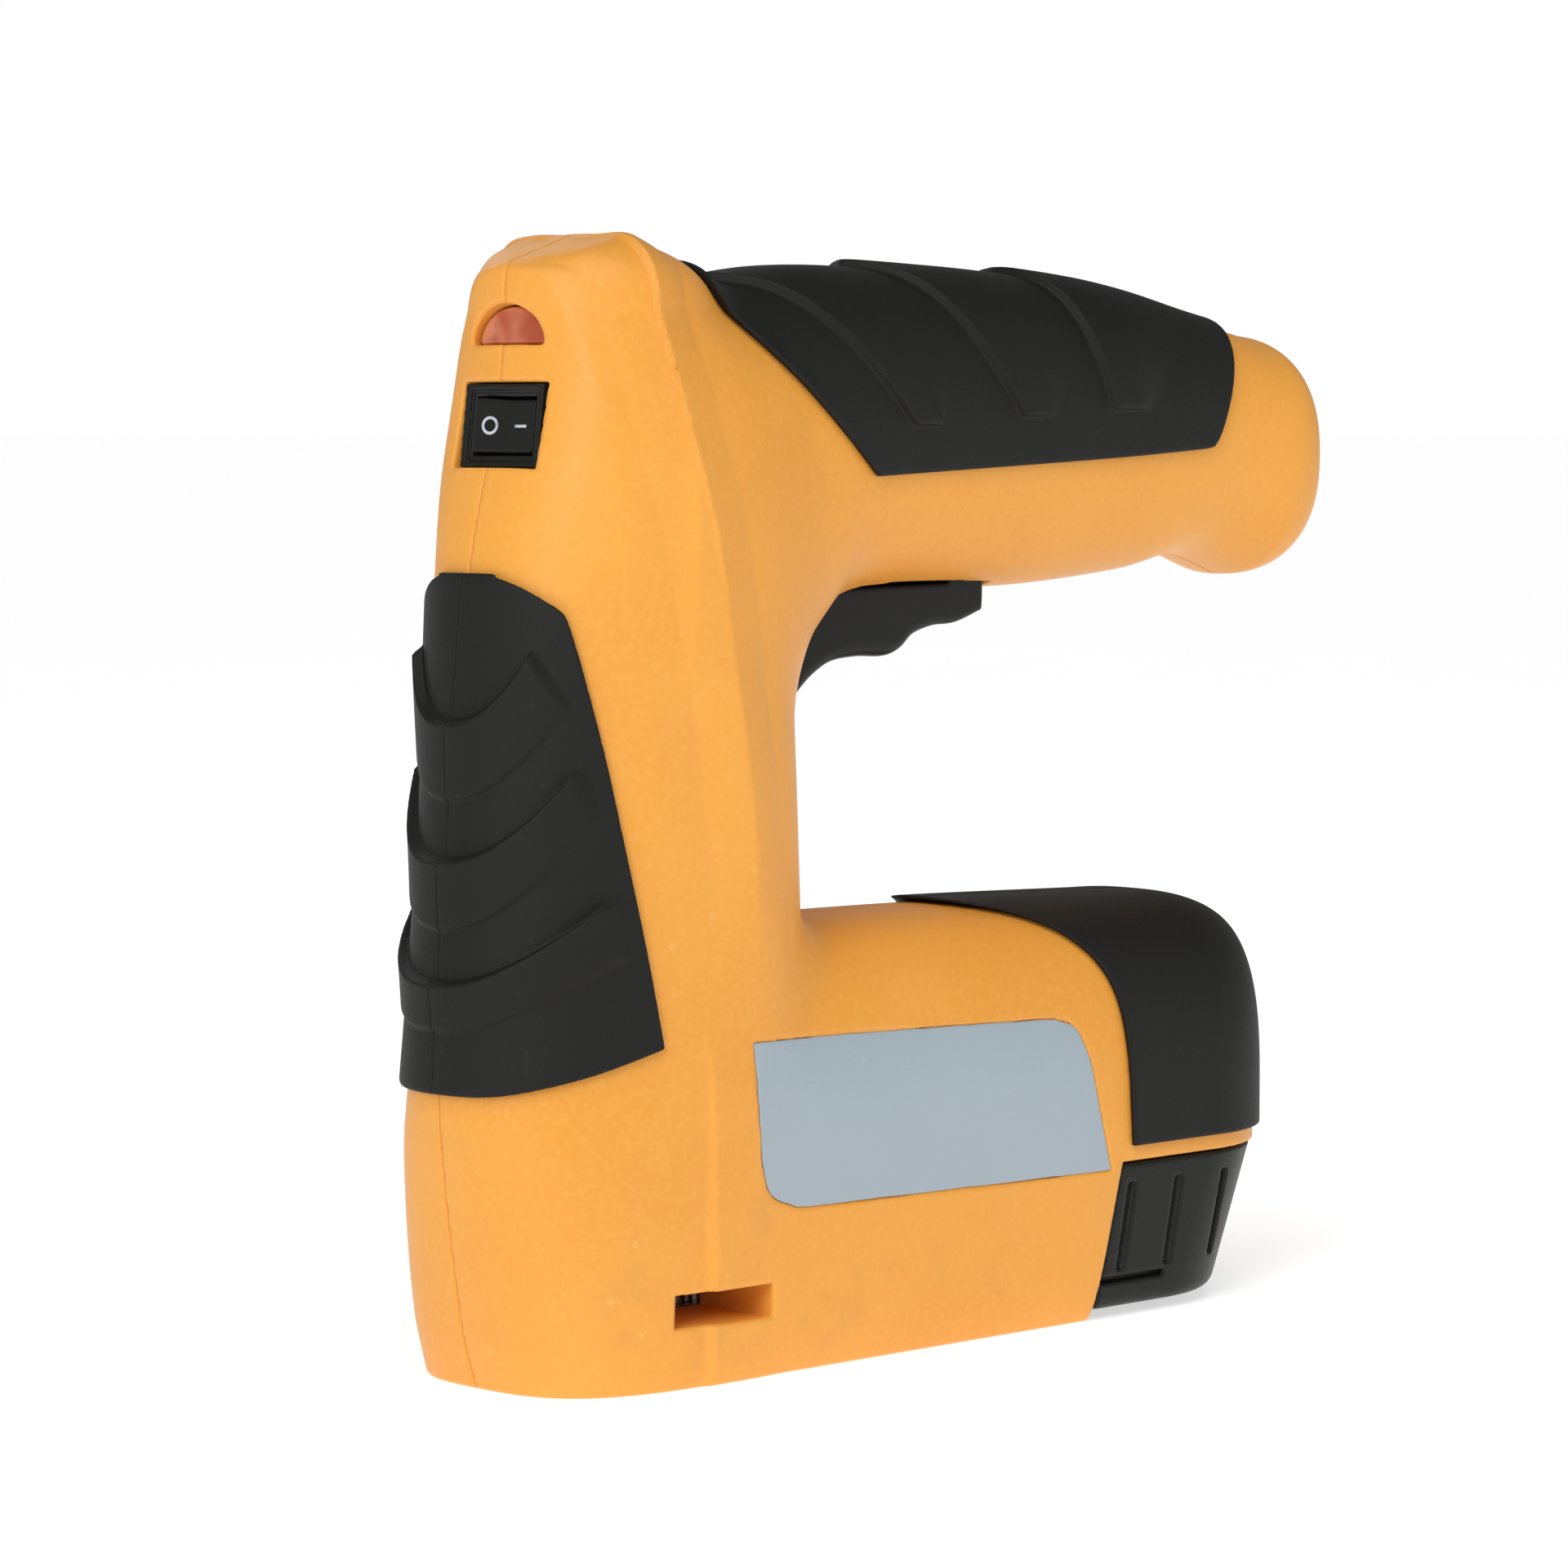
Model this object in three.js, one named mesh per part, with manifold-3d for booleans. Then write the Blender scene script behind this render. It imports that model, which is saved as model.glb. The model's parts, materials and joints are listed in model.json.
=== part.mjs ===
// A cordless staple gun, in millimetres.
// +X runs from the nose to the back of the tool, +Y is its right-hand side and +Z is up.
// The origin is on the work face, in the middle of the lower edge of the steel nose plate.
// While it is being shaped, X counts from the front seam at the foot of the nose.
// The last lines move it to that origin.
import * as THREE from "three";
import { mergeVertices } from "three/addons/utils/BufferGeometryUtils.js";
import Module from "manifold-3d";

// ---- overall sizes ----
const HEAD_TOP = 175.5; // crown of the head above the work face
const HALF_WIDTH = 24.6; // half of the widest place of the lower body
const BODY_END = 165.2; // back of the lower body
const BODY_TOP = 68; // top of the lower body, under the fingers
const HANDLE_END = 183.5; // back of the handle
const HANDLE_TOP = 169.2; // highest line of the handle shell
const HANDLE_UNDER = 119.5; // underside of the handle where the fingers wrap it
const CELL_RADIUS = 6.8; // battery cells, two side by side in the handle
const CELL_ROOM = 4.8; // shell wall, gaps and the room that the handle's round section takes
const HANDLE_HALF = 2 * CELL_RADIUS + CELL_ROOM; // half width of the handle
const COLUMN_BACK = 56.6; // back of the column, where the hand gap starts
const WALL = 2.4; // moulded shell wall
const SPLIT = 0.3; // gap between the two shell halves
const FIT = 0.3; // gap between parts that touch

// ---- soft covers and label ----
const GRIP_PROUD = 1.4; // rubber above the shell
const RIDGE_PROUD = 0.9; // ribs above the rubber
const BUMPER_PROUD = 1.2; // rear bumper above the shell
const BUMPER_LOW = 28.2; // lower edge of the rear bumper
const LABEL_DEEP = 0.7; // label pocket in the shell
const LABEL_THICK = 0.6;

// ---- magazine ----
const STAPLE_WIDE = 10.6;
const STAPLE_LEG = 10;
const WIRE = 0.8;
const STRIP_LONG = 62;
const CHANNEL_FLOOR = 4; // underside of the magazine channel
const CHANNEL_HIGH = 18;
const CHANNEL_WALL = 1;
const STAPLE_PLAY = 0.9; // room on each side of the staples
const CHANNEL_WIDE = STAPLE_WIDE + 2 * (CHANNEL_WALL + STAPLE_PLAY);
const CHANNEL_START = 8;
const CHANNEL_END = 106;
const RAIL_WIDE = 8;
const RAIL_WALL = 0.8;
const PUSHER_LONG = 9;
const LATCH_TOP = 25.4; // top of the magazine latch
const LATCH_LOW = 1.6;
const LATCH_FRONT = 118.4; // front edge of the latch at its top
const LATCH_SLANT = 6.4; // its front edge leans forward by this much at the foot
const LATCH_BACK_SLANT = 10; // its back leans forward by this much at the foot

// ---- hammer and its drive ----
const BLADE_X = 6.3; // middle of the driver blade
const BLADE_THICK = 1.3;
const NOSE_PLATE_THICK = 2.2;
const HAMMER_LOW = 62;
const HAMMER_HIGH = 20;
const HAMMER_X = 14.5;
const SPRING_RADIUS = 6.5;
const SPRING_WIRE = 1.7;
const SPRING_SEAT = 131;
const ROD_RADIUS = 2;
const LIFTER_Z = 50;
const LIFTER_TEETH = 24;
const SECTOR_TEETH = 22;
const DRIVE_MODULE = 1;
const SMALL_TEETH = 10;
const MIDDLE_Y = -8;
const MIDDLE_TEETH = 30;
const PINION_TEETH = 10;
const MOTOR_MODULE = 0.6;
const SHAFT_RADIUS = 1.5;
const MOTOR_RADIUS = 13.8;
const MOTOR_LONG = 38;
const MOTOR_FRONT = 60;

// ---- handle contents ----
const TRIGGER_HALF = 6.4;
const TRIGGER_PIN_X = 100.5;
const TRIGGER_PIN_Z = HANDLE_UNDER + 5.5;
const TRIGGER_PIN_RADIUS = 1.5;
const CELL_LONG = 49;
const CELL_FRONT = 104;
const CELL_GAP = 0.4;
const SOCKET_Z = HANDLE_UNDER + 21.5;

// ---- front panel ----
const PANEL_LEAN = THREE.MathUtils.degToRad(6.6); // the front leans back by this much
const ROCKER_Z = 146; // middle of the rocker switch
const RECESS_HALF = 9.5;
const RECESS_HIGH = 13.2;
const FRAME_WIDE = 17.6;
const FRAME_HIGH = 12.6;
const BUTTON_WIDE = 11.6;
const BUTTON_HIGH = 8.2;
const WINDOW_LOW = 158;
const WINDOW_HALF = 8.2;
const WINDOW_HIGH = 6.2;

const wasm = await Module();
wasm.setup();

// ---- helpers: a three.js geometry as a solid that can be joined and cut ----
function solid(geometry) {
  const bare = geometry.clone();
  bare.deleteAttribute("normal");
  bare.deleteAttribute("uv");
  const merged = mergeVertices(bare, 1e-4);
  return new wasm.Manifold(
    new wasm.Mesh({
      numProp: 3,
      vertProperties: merged.attributes.position.array,
      triVerts: new Uint32Array(merged.index.array),
    }),
  );
}

function box(x0, x1, y0, y1, z0, z1) {
  const geometry = new THREE.BoxGeometry(x1 - x0, y1 - y0, z1 - z0);
  geometry.translate((x0 + x1) / 2, (y0 + y1) / 2, (z0 + z1) / 2);
  return solid(geometry);
}

// A round bar along one axis, from a to b on that axis, through the two other coordinates.
function bar(axis, a, b, u, v, radius, sides = 24) {
  const geometry = new THREE.CylinderGeometry(radius, radius, b - a, sides);
  const middle = (a + b) / 2;
  if (axis === "x") {
    geometry.rotateZ(-Math.PI / 2);
    geometry.translate(middle, u, v);
  }
  if (axis === "y") geometry.translate(u, middle, v);
  if (axis === "z") {
    geometry.rotateX(Math.PI / 2);
    geometry.translate(u, v, middle);
  }
  return solid(geometry);
}

// An outline in the side view, drawn in X and Z, made as thick as y0 to y1.
function sidePlate(drawing, y0, y1, holes = []) {
  const points = drawing instanceof THREE.Shape ? null : drawing.map(([x, z]) => new THREE.Vector2(x, z));
  const shape = points ? new THREE.Shape(points) : drawing;
  shape.holes.push(...holes);
  const geometry = new THREE.ExtrudeGeometry(
    shape,
    { depth: y1 - y0, bevelEnabled: false, curveSegments: 8 },
  );
  geometry.rotateX(Math.PI / 2);
  geometry.translate(0, y1, 0);
  return solid(geometry);
}

// An outline in the front view, drawn in Y and Z, made as thick as x0 to x1.
function frontPlate(shape, x0, x1) {
  const geometry = new THREE.ExtrudeGeometry(
    shape,
    { depth: x1 - x0, bevelEnabled: false, curveSegments: 10 },
  );
  geometry.applyMatrix4(new THREE.Matrix4().set(0, 0, 1, x0, 1, 0, 0, 0, 0, 1, 0, 0, 0, 0, 0, 1));
  return solid(geometry);
}

// A skin through rings that all have the same number of points, closed at both ends.
function skin(rings) {
  const count = rings[0].length;
  const points = rings.flat();
  const first = points.length;
  const middle = (ring) => ring.reduce((sum, p) => sum.add(p), new THREE.Vector3()).divideScalar(count);
  points.push(middle(rings[0]), middle(rings[rings.length - 1]));
  const faces = [];
  for (let r = 0; r + 1 < rings.length; r++) {
    for (let i = 0; i < count; i++) {
      const j = (i + 1) % count;
      const a = r * count + i;
      const b = r * count + j;
      faces.push(a, b, b + count, a, b + count, a + count);
    }
  }
  const last = (rings.length - 1) * count;
  for (let i = 0; i < count; i++) {
    const j = (i + 1) % count;
    faces.push(first, j, i, first + 1, last + i, last + j);
  }
  const geometry = new THREE.BufferGeometry();
  geometry.setAttribute(
    "position",
    new THREE.BufferAttribute(new Float32Array(points.flatMap((p) => p.toArray())), 3),
  );
  geometry.setIndex(faces);
  const made = solid(geometry);
  if (made.volume() > 0) return made;
  for (let i = 0; i < faces.length; i += 3) [faces[i + 1], faces[i + 2]] = [faces[i + 2], faces[i + 1]];
  geometry.setIndex(faces);
  return solid(geometry);
}

// A smooth line through a few stations [where, value].
function line(stations) {
  const slope = stations.map((s, i) => {
    const before = stations[Math.max(i - 1, 0)];
    const after = stations[Math.min(i + 1, stations.length - 1)];
    return (after[1] - before[1]) / (after[0] - before[0]);
  });
  return (t) => {
    let i = 0;
    while (i + 2 < stations.length && t > stations[i + 1][0]) i++;
    const [t0, v0] = stations[i];
    const [t1, v1] = stations[i + 1];
    const span = t1 - t0;
    const u = THREE.MathUtils.clamp((t - t0) / span, 0, 1);
    const u2 = u * u;
    const u3 = u2 * u;
    const level = (2 * u3 - 3 * u2 + 1) * v0 + (3 * u2 - 2 * u3) * v1;
    return level + span * ((u3 - 2 * u2 + u) * slope[i] + (u3 - u2) * slope[i + 1]);
  };
}

const power = (value, exponent) => Math.sign(value) * Math.abs(value) ** exponent;

// Points of a rounded section. Its two half sizes along may differ, and so may their roundness.
const OUTER_POINTS = 24;
const INNER_POINTS = 16;
function section(place, backHalf, frontHalf, side, backRound, frontRound, count) {
  return Array.from({ length: count }, (_, i) => {
    const angle = ((i + 0.5) / count) * 2 * Math.PI;
    const c = Math.cos(angle);
    const s = Math.sin(angle);
    const round = c > 0 ? backRound : frontRound;
    const along = power(c, 2 / round) * (c > 0 ? backHalf : frontHalf);
    return place(along, power(s, 2 / round) * side);
  });
}

// ---- the column with the head: sections across Z ----
const columnFront = line([
  [0, 0], [10, -2.9], [34, -6.4], [47, -7.1], [88, -3.8], [124, -0.8], [150, 5], [165, 6.5],
]);
const columnCrest = line([
  [0, 32], [52, 36], [86, 34], [112, 30], [130, 26.5], [146, 22.5], [HEAD_TOP, 18],
]);
const columnHalf = line([
  [0, HALF_WIDTH - 1.6], [46, HALF_WIDTH - 0.2], [100, HALF_WIDTH - 0.9], [130, HALF_WIDTH - 1.6],
  [150, HALF_WIDTH - 3.6], [165, HALF_WIDTH - 7],
]);
const columnRound = line([
  [0, 3.1], [14, 3], [35, 2.6], [47, 2.25], [80, 2.05], [124, 2.1], [140, 2.3], [165, 2.2],
]);
function columnRing(z, grow) {
  const crest = columnCrest(z);
  return section(
    (x, y) => new THREE.Vector3(crest + x, y, z),
    COLUMN_BACK - crest + grow,
    crest - columnFront(z) + grow,
    columnHalf(z) + grow,
    2.3,
    columnRound(z),
    grow < 0 ? INNER_POINTS : OUTER_POINTS,
  );
}
const NECK = HEAD_TOP - 12; // the crown starts here
const CROWN_BACK = 22; // how far the crown reaches back from its crest
function crownRing(rise, grow) {
  const z = NECK + rise * (HEAD_TOP - NECK + grow);
  const shrink = Math.sqrt(1 - rise ** 2.6);
  const crest = columnCrest(NECK);
  return section(
    (x, y) => new THREE.Vector3(crest + x, y, z),
    CROWN_BACK * shrink ** 1.6 + grow * shrink,
    (crest - columnFront(NECK)) * shrink ** 0.3 + grow * shrink,
    columnHalf(NECK) * shrink + grow * shrink,
    2.2,
    2.2,
    grow < 0 ? INNER_POINTS : OUTER_POINTS,
  );
}
function columnSolid(grow, bottom) {
  const levels = [bottom, 12, 30, 47, 80, 112, 132, 148];
  const rings = levels.map((z) => columnRing(z, grow));
  for (const rise of [0, 0.45, 0.72, 0.9, 0.985]) rings.push(crownRing(rise, grow));
  return skin(rings);
}

// ---- the handle: sections across X ----
const POMMEL = HANDLE_END - 15; // deepest place of the drooping end
const GRIP_BACK = HANDLE_END - 29; // the narrow place in front of it
const handleTop = line([
  [24, HANDLE_TOP - 4], [62, HANDLE_TOP - 0.6], [92, HANDLE_TOP], [118, HANDLE_TOP - 0.6],
  [138, HANDLE_TOP - 2.4], [GRIP_BACK, HANDLE_TOP - 5.2], [POMMEL, HANDLE_TOP - 8],
]);
const handleUnder = line([
  [24, HANDLE_UNDER - 26], [50, HANDLE_UNDER - 20], [60, HANDLE_UNDER - 10], [68, HANDLE_UNDER - 2.4],
  [80, HANDLE_UNDER], [112, HANDLE_UNDER], [138, HANDLE_UNDER + 2], [GRIP_BACK, HANDLE_UNDER + 4.6],
  [POMMEL, HANDLE_UNDER + 0.8],
]);
const handleSide = line([
  [24, HANDLE_HALF + 3], [40, HANDLE_HALF + 2.6], [60, HANDLE_HALF + 0.6], [90, HANDLE_HALF],
  [GRIP_BACK, HANDLE_HALF - 0.8], [POMMEL, HANDLE_HALF + 0.2],
]);
function handleRing(x, grow) {
  const middle = (handleTop(x) + handleUnder(x)) / 2;
  const half = (handleTop(x) - handleUnder(x)) / 2 + grow;
  const count = grow < 0 ? INNER_POINTS : OUTER_POINTS;
  return section(
    (z, y) => new THREE.Vector3(x, y, middle + z),
    half,
    half,
    handleSide(x) + grow,
    2.4,
    2.5,
    count,
  );
}
function pommelRing(reach, grow) {
  const x = POMMEL + reach * (HANDLE_END - POMMEL + grow);
  const shrink = Math.sqrt(1 - reach ** 2.3);
  const middle = (handleTop(POMMEL) + handleUnder(POMMEL)) / 2;
  const half = (handleTop(POMMEL) - handleUnder(POMMEL)) / 2 + grow;
  const side = (handleSide(POMMEL) + grow) * shrink;
  const count = grow < 0 ? INNER_POINTS : OUTER_POINTS;
  return section((z, y) => new THREE.Vector3(x, y, middle + z * shrink), half, half, side, 2.4, 2.5, count);
}
function handleSolid(grow) {
  const places = [30, 50, 60, 68, 80, 112, 138, GRIP_BACK];
  const rings = places.map((x) => handleRing(x, grow));
  for (const reach of [0, 0.55, 0.85, 0.985]) rings.push(pommelRing(reach, grow));
  return skin(rings);
}

// ---- the lower body: sections across X, flat on the work face ----
const BODY_MIDDLE = 34;
const REAR_ROUND = 25; // how far from the back the rounding starts
const bodyTop = line([[28, BODY_TOP + 0.3], [90, BODY_TOP], [BODY_END - REAR_ROUND, BODY_TOP - 1.4]]);
function bodyRing(x, grow, low, shrinkSide = 1, shrinkTop = 1) {
  return section(
    (z, y) => new THREE.Vector3(x, y, BODY_MIDDLE + z),
    (bodyTop(x) - BODY_MIDDLE) * shrinkTop + grow,
    BODY_MIDDLE - low,
    (HALF_WIDTH + grow) * shrinkSide,
    2.9,
    9,
    grow < 0 ? INNER_POINTS : OUTER_POINTS,
  );
}
function bodySolid(grow, low) {
  const start = BODY_END - REAR_ROUND;
  const rings = [28, 90, start].map((x) => bodyRing(x, grow, low));
  for (const reach of [0.35, 0.62, 0.82, 0.94, 0.992]) {
    const x = start + reach * (REAR_ROUND + grow);
    const shrink = Math.sqrt(1 - reach ** 2.2);
    rings.push(bodyRing(x, grow, low, Math.max(shrink, 0.12), 0.35 + 0.65 * shrink ** 0.7));
  }
  return skin(rings);
}

// Everything together, grown or shrunk by the same amount on every side but the flat foot.
function outline(grow, foot) {
  return columnSolid(grow, foot).add(handleSolid(grow)).add(bodySolid(grow, foot));
}

const group = new THREE.Group();
group.name = "cordless_staple_gun";

function material(colour, roughness, metalness = 0) {
  return () => new THREE.MeshStandardMaterial({ color: colour, roughness, metalness });
}
const YELLOW = material(0xf5a93a, 0.45);
const RUBBER = material(0x2b2b2a, 0.8);
const BLACK = material(0x1c1d1a, 0.45);
const STEEL = material(0xb9bdc1, 0.3, 1);
const DARK_STEEL = material(0x6a6d70, 0.4, 1);
const LABEL = material(0xa4b1ba, 0.4);
const WHITE = material(0xe6e4dc, 0.5);
const BRASS = material(0xc9a550, 0.35, 1);
const RED = material(0xe0401c, 0.2);
const GREEN = material(0x1f6b3a, 0.5);
const CELL = material(0x2f7d4f, 0.4);

function node(name, shape, make) {
  const mesh = shape.getMesh();
  const geometry = new THREE.BufferGeometry();
  geometry.setAttribute("position", new THREE.BufferAttribute(new Float32Array(mesh.vertProperties), 3));
  geometry.setIndex(new THREE.BufferAttribute(new Uint32Array(mesh.triVerts), 1));
  geometry.computeVertexNormals();
  const made = new THREE.Mesh(geometry, make());
  made.name = name;
  group.add(made);
  return made;
}

const FAR = 300;
const leftHalf = (shape) => shape.intersect(box(-FAR, FAR, -FAR, -SPLIT / 2, -FAR, FAR));
const rightHalf = (shape) => shape.intersect(box(-FAR, FAR, SPLIT / 2, FAR, -FAR, FAR));

// ---- regions of the covers, in the side view ----
const frontGripRegion = [
  [-20, 45.4], [-4, 46], [8, 48.4], [18.6, 51.8], [16.8, 66], [13.6, 80], [9.6, 95], [5.6, 108],
  [3.2, 116], [0.5, 120], [-3, 123.4], [-20, 124.2],
];
const gripRidges = [
  { low: 90, high: 102, rise: 9 },
  { low: 70, high: 81, rise: 12 },
  { low: 54, high: 62.5, rise: 10 },
];
const handleGripRegion = [
  [39, HANDLE_TOP + 20], [38, HANDLE_TOP - 0.6], [36.6, HANDLE_TOP - 2.6], [43, HANDLE_TOP - 8.2],
  [54.5, HANDLE_TOP - 17.4], [64, HANDLE_TOP - 26.8], [68.5, HANDLE_TOP - 31.4],
  [GRIP_BACK - 8, HANDLE_TOP - 27.6], [GRIP_BACK - 4, HANDLE_TOP - 20],
  [GRIP_BACK, HANDLE_TOP - 12], [GRIP_BACK + 5, HANDLE_TOP - 3], [GRIP_BACK + 6, HANDLE_TOP + 20],
];
const handleRib = [
  [0, 12], [6, -3.5], [10, -9], [16, -16], [24, -24], [30, -24.4], [31, -19], [28, -12], [24, -5], [20, 12],
];
const RIB_START = 52;
const RIB_STEP = 23;
const bumperRegion = [
  [96, BODY_TOP + 20], [97, BODY_TOP + 0.4], [102, BODY_TOP - 0.8], [107, BODY_TOP - 2.6],
  [111, BODY_TOP - 5], [115, BODY_TOP - 9], [117.6, BODY_TOP - 15], [119, BODY_TOP - 25],
  [120, BUMPER_LOW], [BODY_END + 30, BUMPER_LOW],
  [BODY_END + 30, BODY_TOP + 20],
];

function labelShape(grow) {
  const shape = new THREE.Shape();
  shape.moveTo(35 - grow, 52 + grow);
  shape.lineTo(102, 50.4 + grow);
  shape.quadraticCurveTo(109 + grow, 50 + grow, 110.6 + grow, 43);
  shape.lineTo(115.4 + grow, 24.6 - grow);
  shape.lineTo(46, 25.6 - grow);
  shape.quadraticCurveTo(38 - grow, 26 - grow, 36.4 - grow, 34);
  shape.closePath();
  return shape;
}

function latchRegion(grow) {
  const lean = LATCH_SLANT / (LATCH_TOP - LATCH_LOW);
  return [
    [LATCH_FRONT - grow, LATCH_TOP + grow],
    [LATCH_FRONT - LATCH_SLANT - lean * 10 - grow, LATCH_LOW - 10],
    [BODY_END + 20, LATCH_LOW - 10],
    [BODY_END + 20, LATCH_TOP + grow],
  ];
}

// ---- shell: the outer shape less the same shape shrunk by the wall ----
const outer = outline(0, 0);
const inner = outline(-WALL, WALL);
const bosses = [
  { x: 34, z: 151 },
  { x: 47, z: 100 },
  { x: TRIGGER_PIN_X + 7.6, z: HANDLE_UNDER + 7 },
  { x: HANDLE_END - 18.2, z: (HANDLE_TOP + HANDLE_UNDER) / 2 - 6 },
  { x: 17, z: 34 },
  { x: 78, z: BODY_TOP - 5.6 },
];
const BOSS_RADIUS = 3.2;
const SCREW_RADIUS = 1.4;
const SCREW_HEAD = 2.8;

let shell = outer.subtract(inner);
for (const { x, z } of bosses) {
  shell = shell.add(bar("y", -FAR, FAR, x, z, BOSS_RADIUS, 12).intersect(outline(-WALL / 2, WALL)));
}

// Pockets for the labels, the latch, the switch recess, the window, the trigger slot,
// the viewing slots and the nose.
const labelPocket = outline(1, -1)
  .subtract(outline(-LABEL_DEEP, LABEL_DEEP))
  .intersect(sidePlate(labelShape(FIT), -FAR, FAR));
shell = shell.subtract(labelPocket);
shell = shell.subtract(
  sidePlate(latchRegion(FIT), -FAR, FAR).intersect(box(90, FAR, -FAR, FAR, -FAR, LATCH_TOP + FIT))
);

const lean = Math.tan(PANEL_LEAN);
function leaning(shape, z, move) {
  const turn = new THREE.Matrix4().makeTranslation(columnFront(z) + move, 0, z);
  turn.multiply(new THREE.Matrix4().makeRotationY(PANEL_LEAN));
  return shape.transform(turn.elements);
}
const recess = leaning(
  box(-10, 9, -RECESS_HALF, RECESS_HALF, -RECESS_HIGH / 2, RECESS_HIGH / 2), ROCKER_Z, 0,
);
shell = shell.subtract(recess);

function windowShape(grow) {
  const half = WINDOW_HALF + grow;
  const shape = new THREE.Shape();
  shape.moveTo(-half, -grow);
  shape.lineTo(half, -grow);
  shape.absellipse(0, -grow, half, WINDOW_HIGH + 2 * grow, 0, Math.PI, false, 0);
  shape.closePath();
  return shape;
}
shell = shell.subtract(leaning(frontPlate(windowShape(0), -10, 10), WINDOW_LOW, 0));

const slotHalf = TRIGGER_HALF + FIT + 0.1;
shell = shell.subtract(
  box(COLUMN_BACK - 1.2, TRIGGER_PIN_X + 4.5, -slotHalf, slotHalf, 96, HANDLE_UNDER + 4.4)
);
shell = shell.subtract(box(20, 39, -FAR, FAR, 9.5, 14.6));
const noseBack = BLADE_X - BLADE_THICK / 2 - FIT;
const noseFront = noseBack - NOSE_PLATE_THICK;
const throatHalf = CHANNEL_WIDE / 2 + FIT;
shell = shell.subtract(box(noseFront - FIT, CHANNEL_START + 1.4, -throatHalf, throatHalf, -5, WALL + 2));
shell = shell.subtract(bar("x", HANDLE_END - 8, HANDLE_END + 5, 0, SOCKET_Z, 4.7 + FIT));
shell = shell.subtract(
  bar("y", -TRIGGER_HALF - 4, TRIGGER_HALF + 4, TRIGGER_PIN_X, TRIGGER_PIN_Z, TRIGGER_PIN_RADIUS + FIT, 16)
);

// Screws go in from the right: a head pocket and a through hole there, a blind pilot hole on the left.
const headSeat = (x, z) => columnOrHandleSide(x, z) - 3.2;
function columnOrHandleSide(x, z) {
  const probe = outer.intersect(box(x - 0.5, x + 0.5, 0, FAR, z - 0.5, z + 0.5));
  return probe.boundingBox().max[1];
}
const screws = bosses.map(({ x, z }) => ({ x, z, seat: headSeat(x, z) }));
for (const { x, z, seat } of screws) {
  shell = shell.subtract(bar("y", seat, FAR, x, z, SCREW_HEAD + FIT, 16));
  shell = shell.subtract(bar("y", -9, FAR, x, z, SCREW_RADIUS + FIT, 10));
}
node("housing_left", leftHalf(shell), YELLOW);
node("housing_right", rightHalf(shell), YELLOW);

screws.forEach(({ x, z, seat }, i) => {
  const head = bar("y", seat + FIT, seat + FIT + 2, x, z, SCREW_HEAD, 12);
  const slotA = box(x - 1.6, x + 1.6, seat + FIT + 1, seat + 9, z - 0.35, z + 0.35);
  const slotB = box(x - 0.35, x + 0.35, seat + FIT + 1, seat + 9, z - 1.6, z + 1.6);
  const shank = bar("y", -8, seat + FIT + 0.5, x, z, SCREW_RADIUS, 10);
  node("screw_" + (i + 1), head.add(shank).subtract(slotA).subtract(slotB), DARK_STEEL);
});

// ---- soft front grip with its raised chevrons, one piece on each half ----
const frontGripSkin = columnSolid(GRIP_PROUD, -1).subtract(columnSolid(FIT, -2));
let frontGrip = frontGripSkin.intersect(sidePlate(frontGripRegion, -FAR, FAR));
for (const { low, high, rise } of gripRidges) {
  const band = sidePlate(
    [[-20, low - rise], [22, low + rise * 1.4], [22, high + rise * 1.6], [-20, high - rise]], -FAR, FAR,
  );
  const raised = columnSolid(GRIP_PROUD + RIDGE_PROUD, -1).subtract(columnSolid(FIT, -2));
  const inset = frontGripRegion.map(([x, z]) => [x > -10 ? x - 2.2 : x, z]);
  frontGrip = frontGrip.add(raised.intersect(band).intersect(sidePlate(inset, -FAR, FAR)));
}
node("front_grip_left", leftHalf(frontGrip), RUBBER);
node("front_grip_right", rightHalf(frontGrip), RUBBER);

// ---- soft handle grip with three raised ribs, one piece on each half ----
function topOutline(grow) {
  return columnSolid(grow, -2).add(handleSolid(grow));
}
const gripUnder = topOutline(FIT);
let handleGrip = topOutline(GRIP_PROUD).subtract(gripUnder).intersect(
  sidePlate(handleGripRegion, -FAR, FAR)
);
const ribSkin = topOutline(GRIP_PROUD + RIDGE_PROUD).subtract(gripUnder);
for (let i = 0; i < 3; i++) {
  const start = RIB_START + i * RIB_STEP;
  handleGrip = handleGrip.add(
    ribSkin.intersect(sidePlate(handleRib.map(([x, z]) => [start + x, HANDLE_TOP + z]), -FAR, FAR))
  );
}
node("handle_grip_left", leftHalf(handleGrip), RUBBER);
node("handle_grip_right", rightHalf(handleGrip), RUBBER);

// ---- rear bumper ----
const bumper = bodySolid(BUMPER_PROUD, -1).subtract(bodySolid(FIT, -2)).intersect(
  sidePlate(bumperRegion, -FAR, FAR)
);
node("rear_bumper_left", leftHalf(bumper), RUBBER);
node("rear_bumper_right", rightHalf(bumper), RUBBER);

// ---- plain label plates in their pockets ----
const plate = outline(LABEL_THICK - LABEL_DEEP + FIT, -1)
  .subtract(outline(-LABEL_DEEP + FIT, LABEL_DEEP))
  .intersect(sidePlate(labelShape(0), -FAR, FAR));
node("label_left", leftHalf(plate), LABEL);
node("label_right", rightHalf(plate), LABEL);

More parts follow.
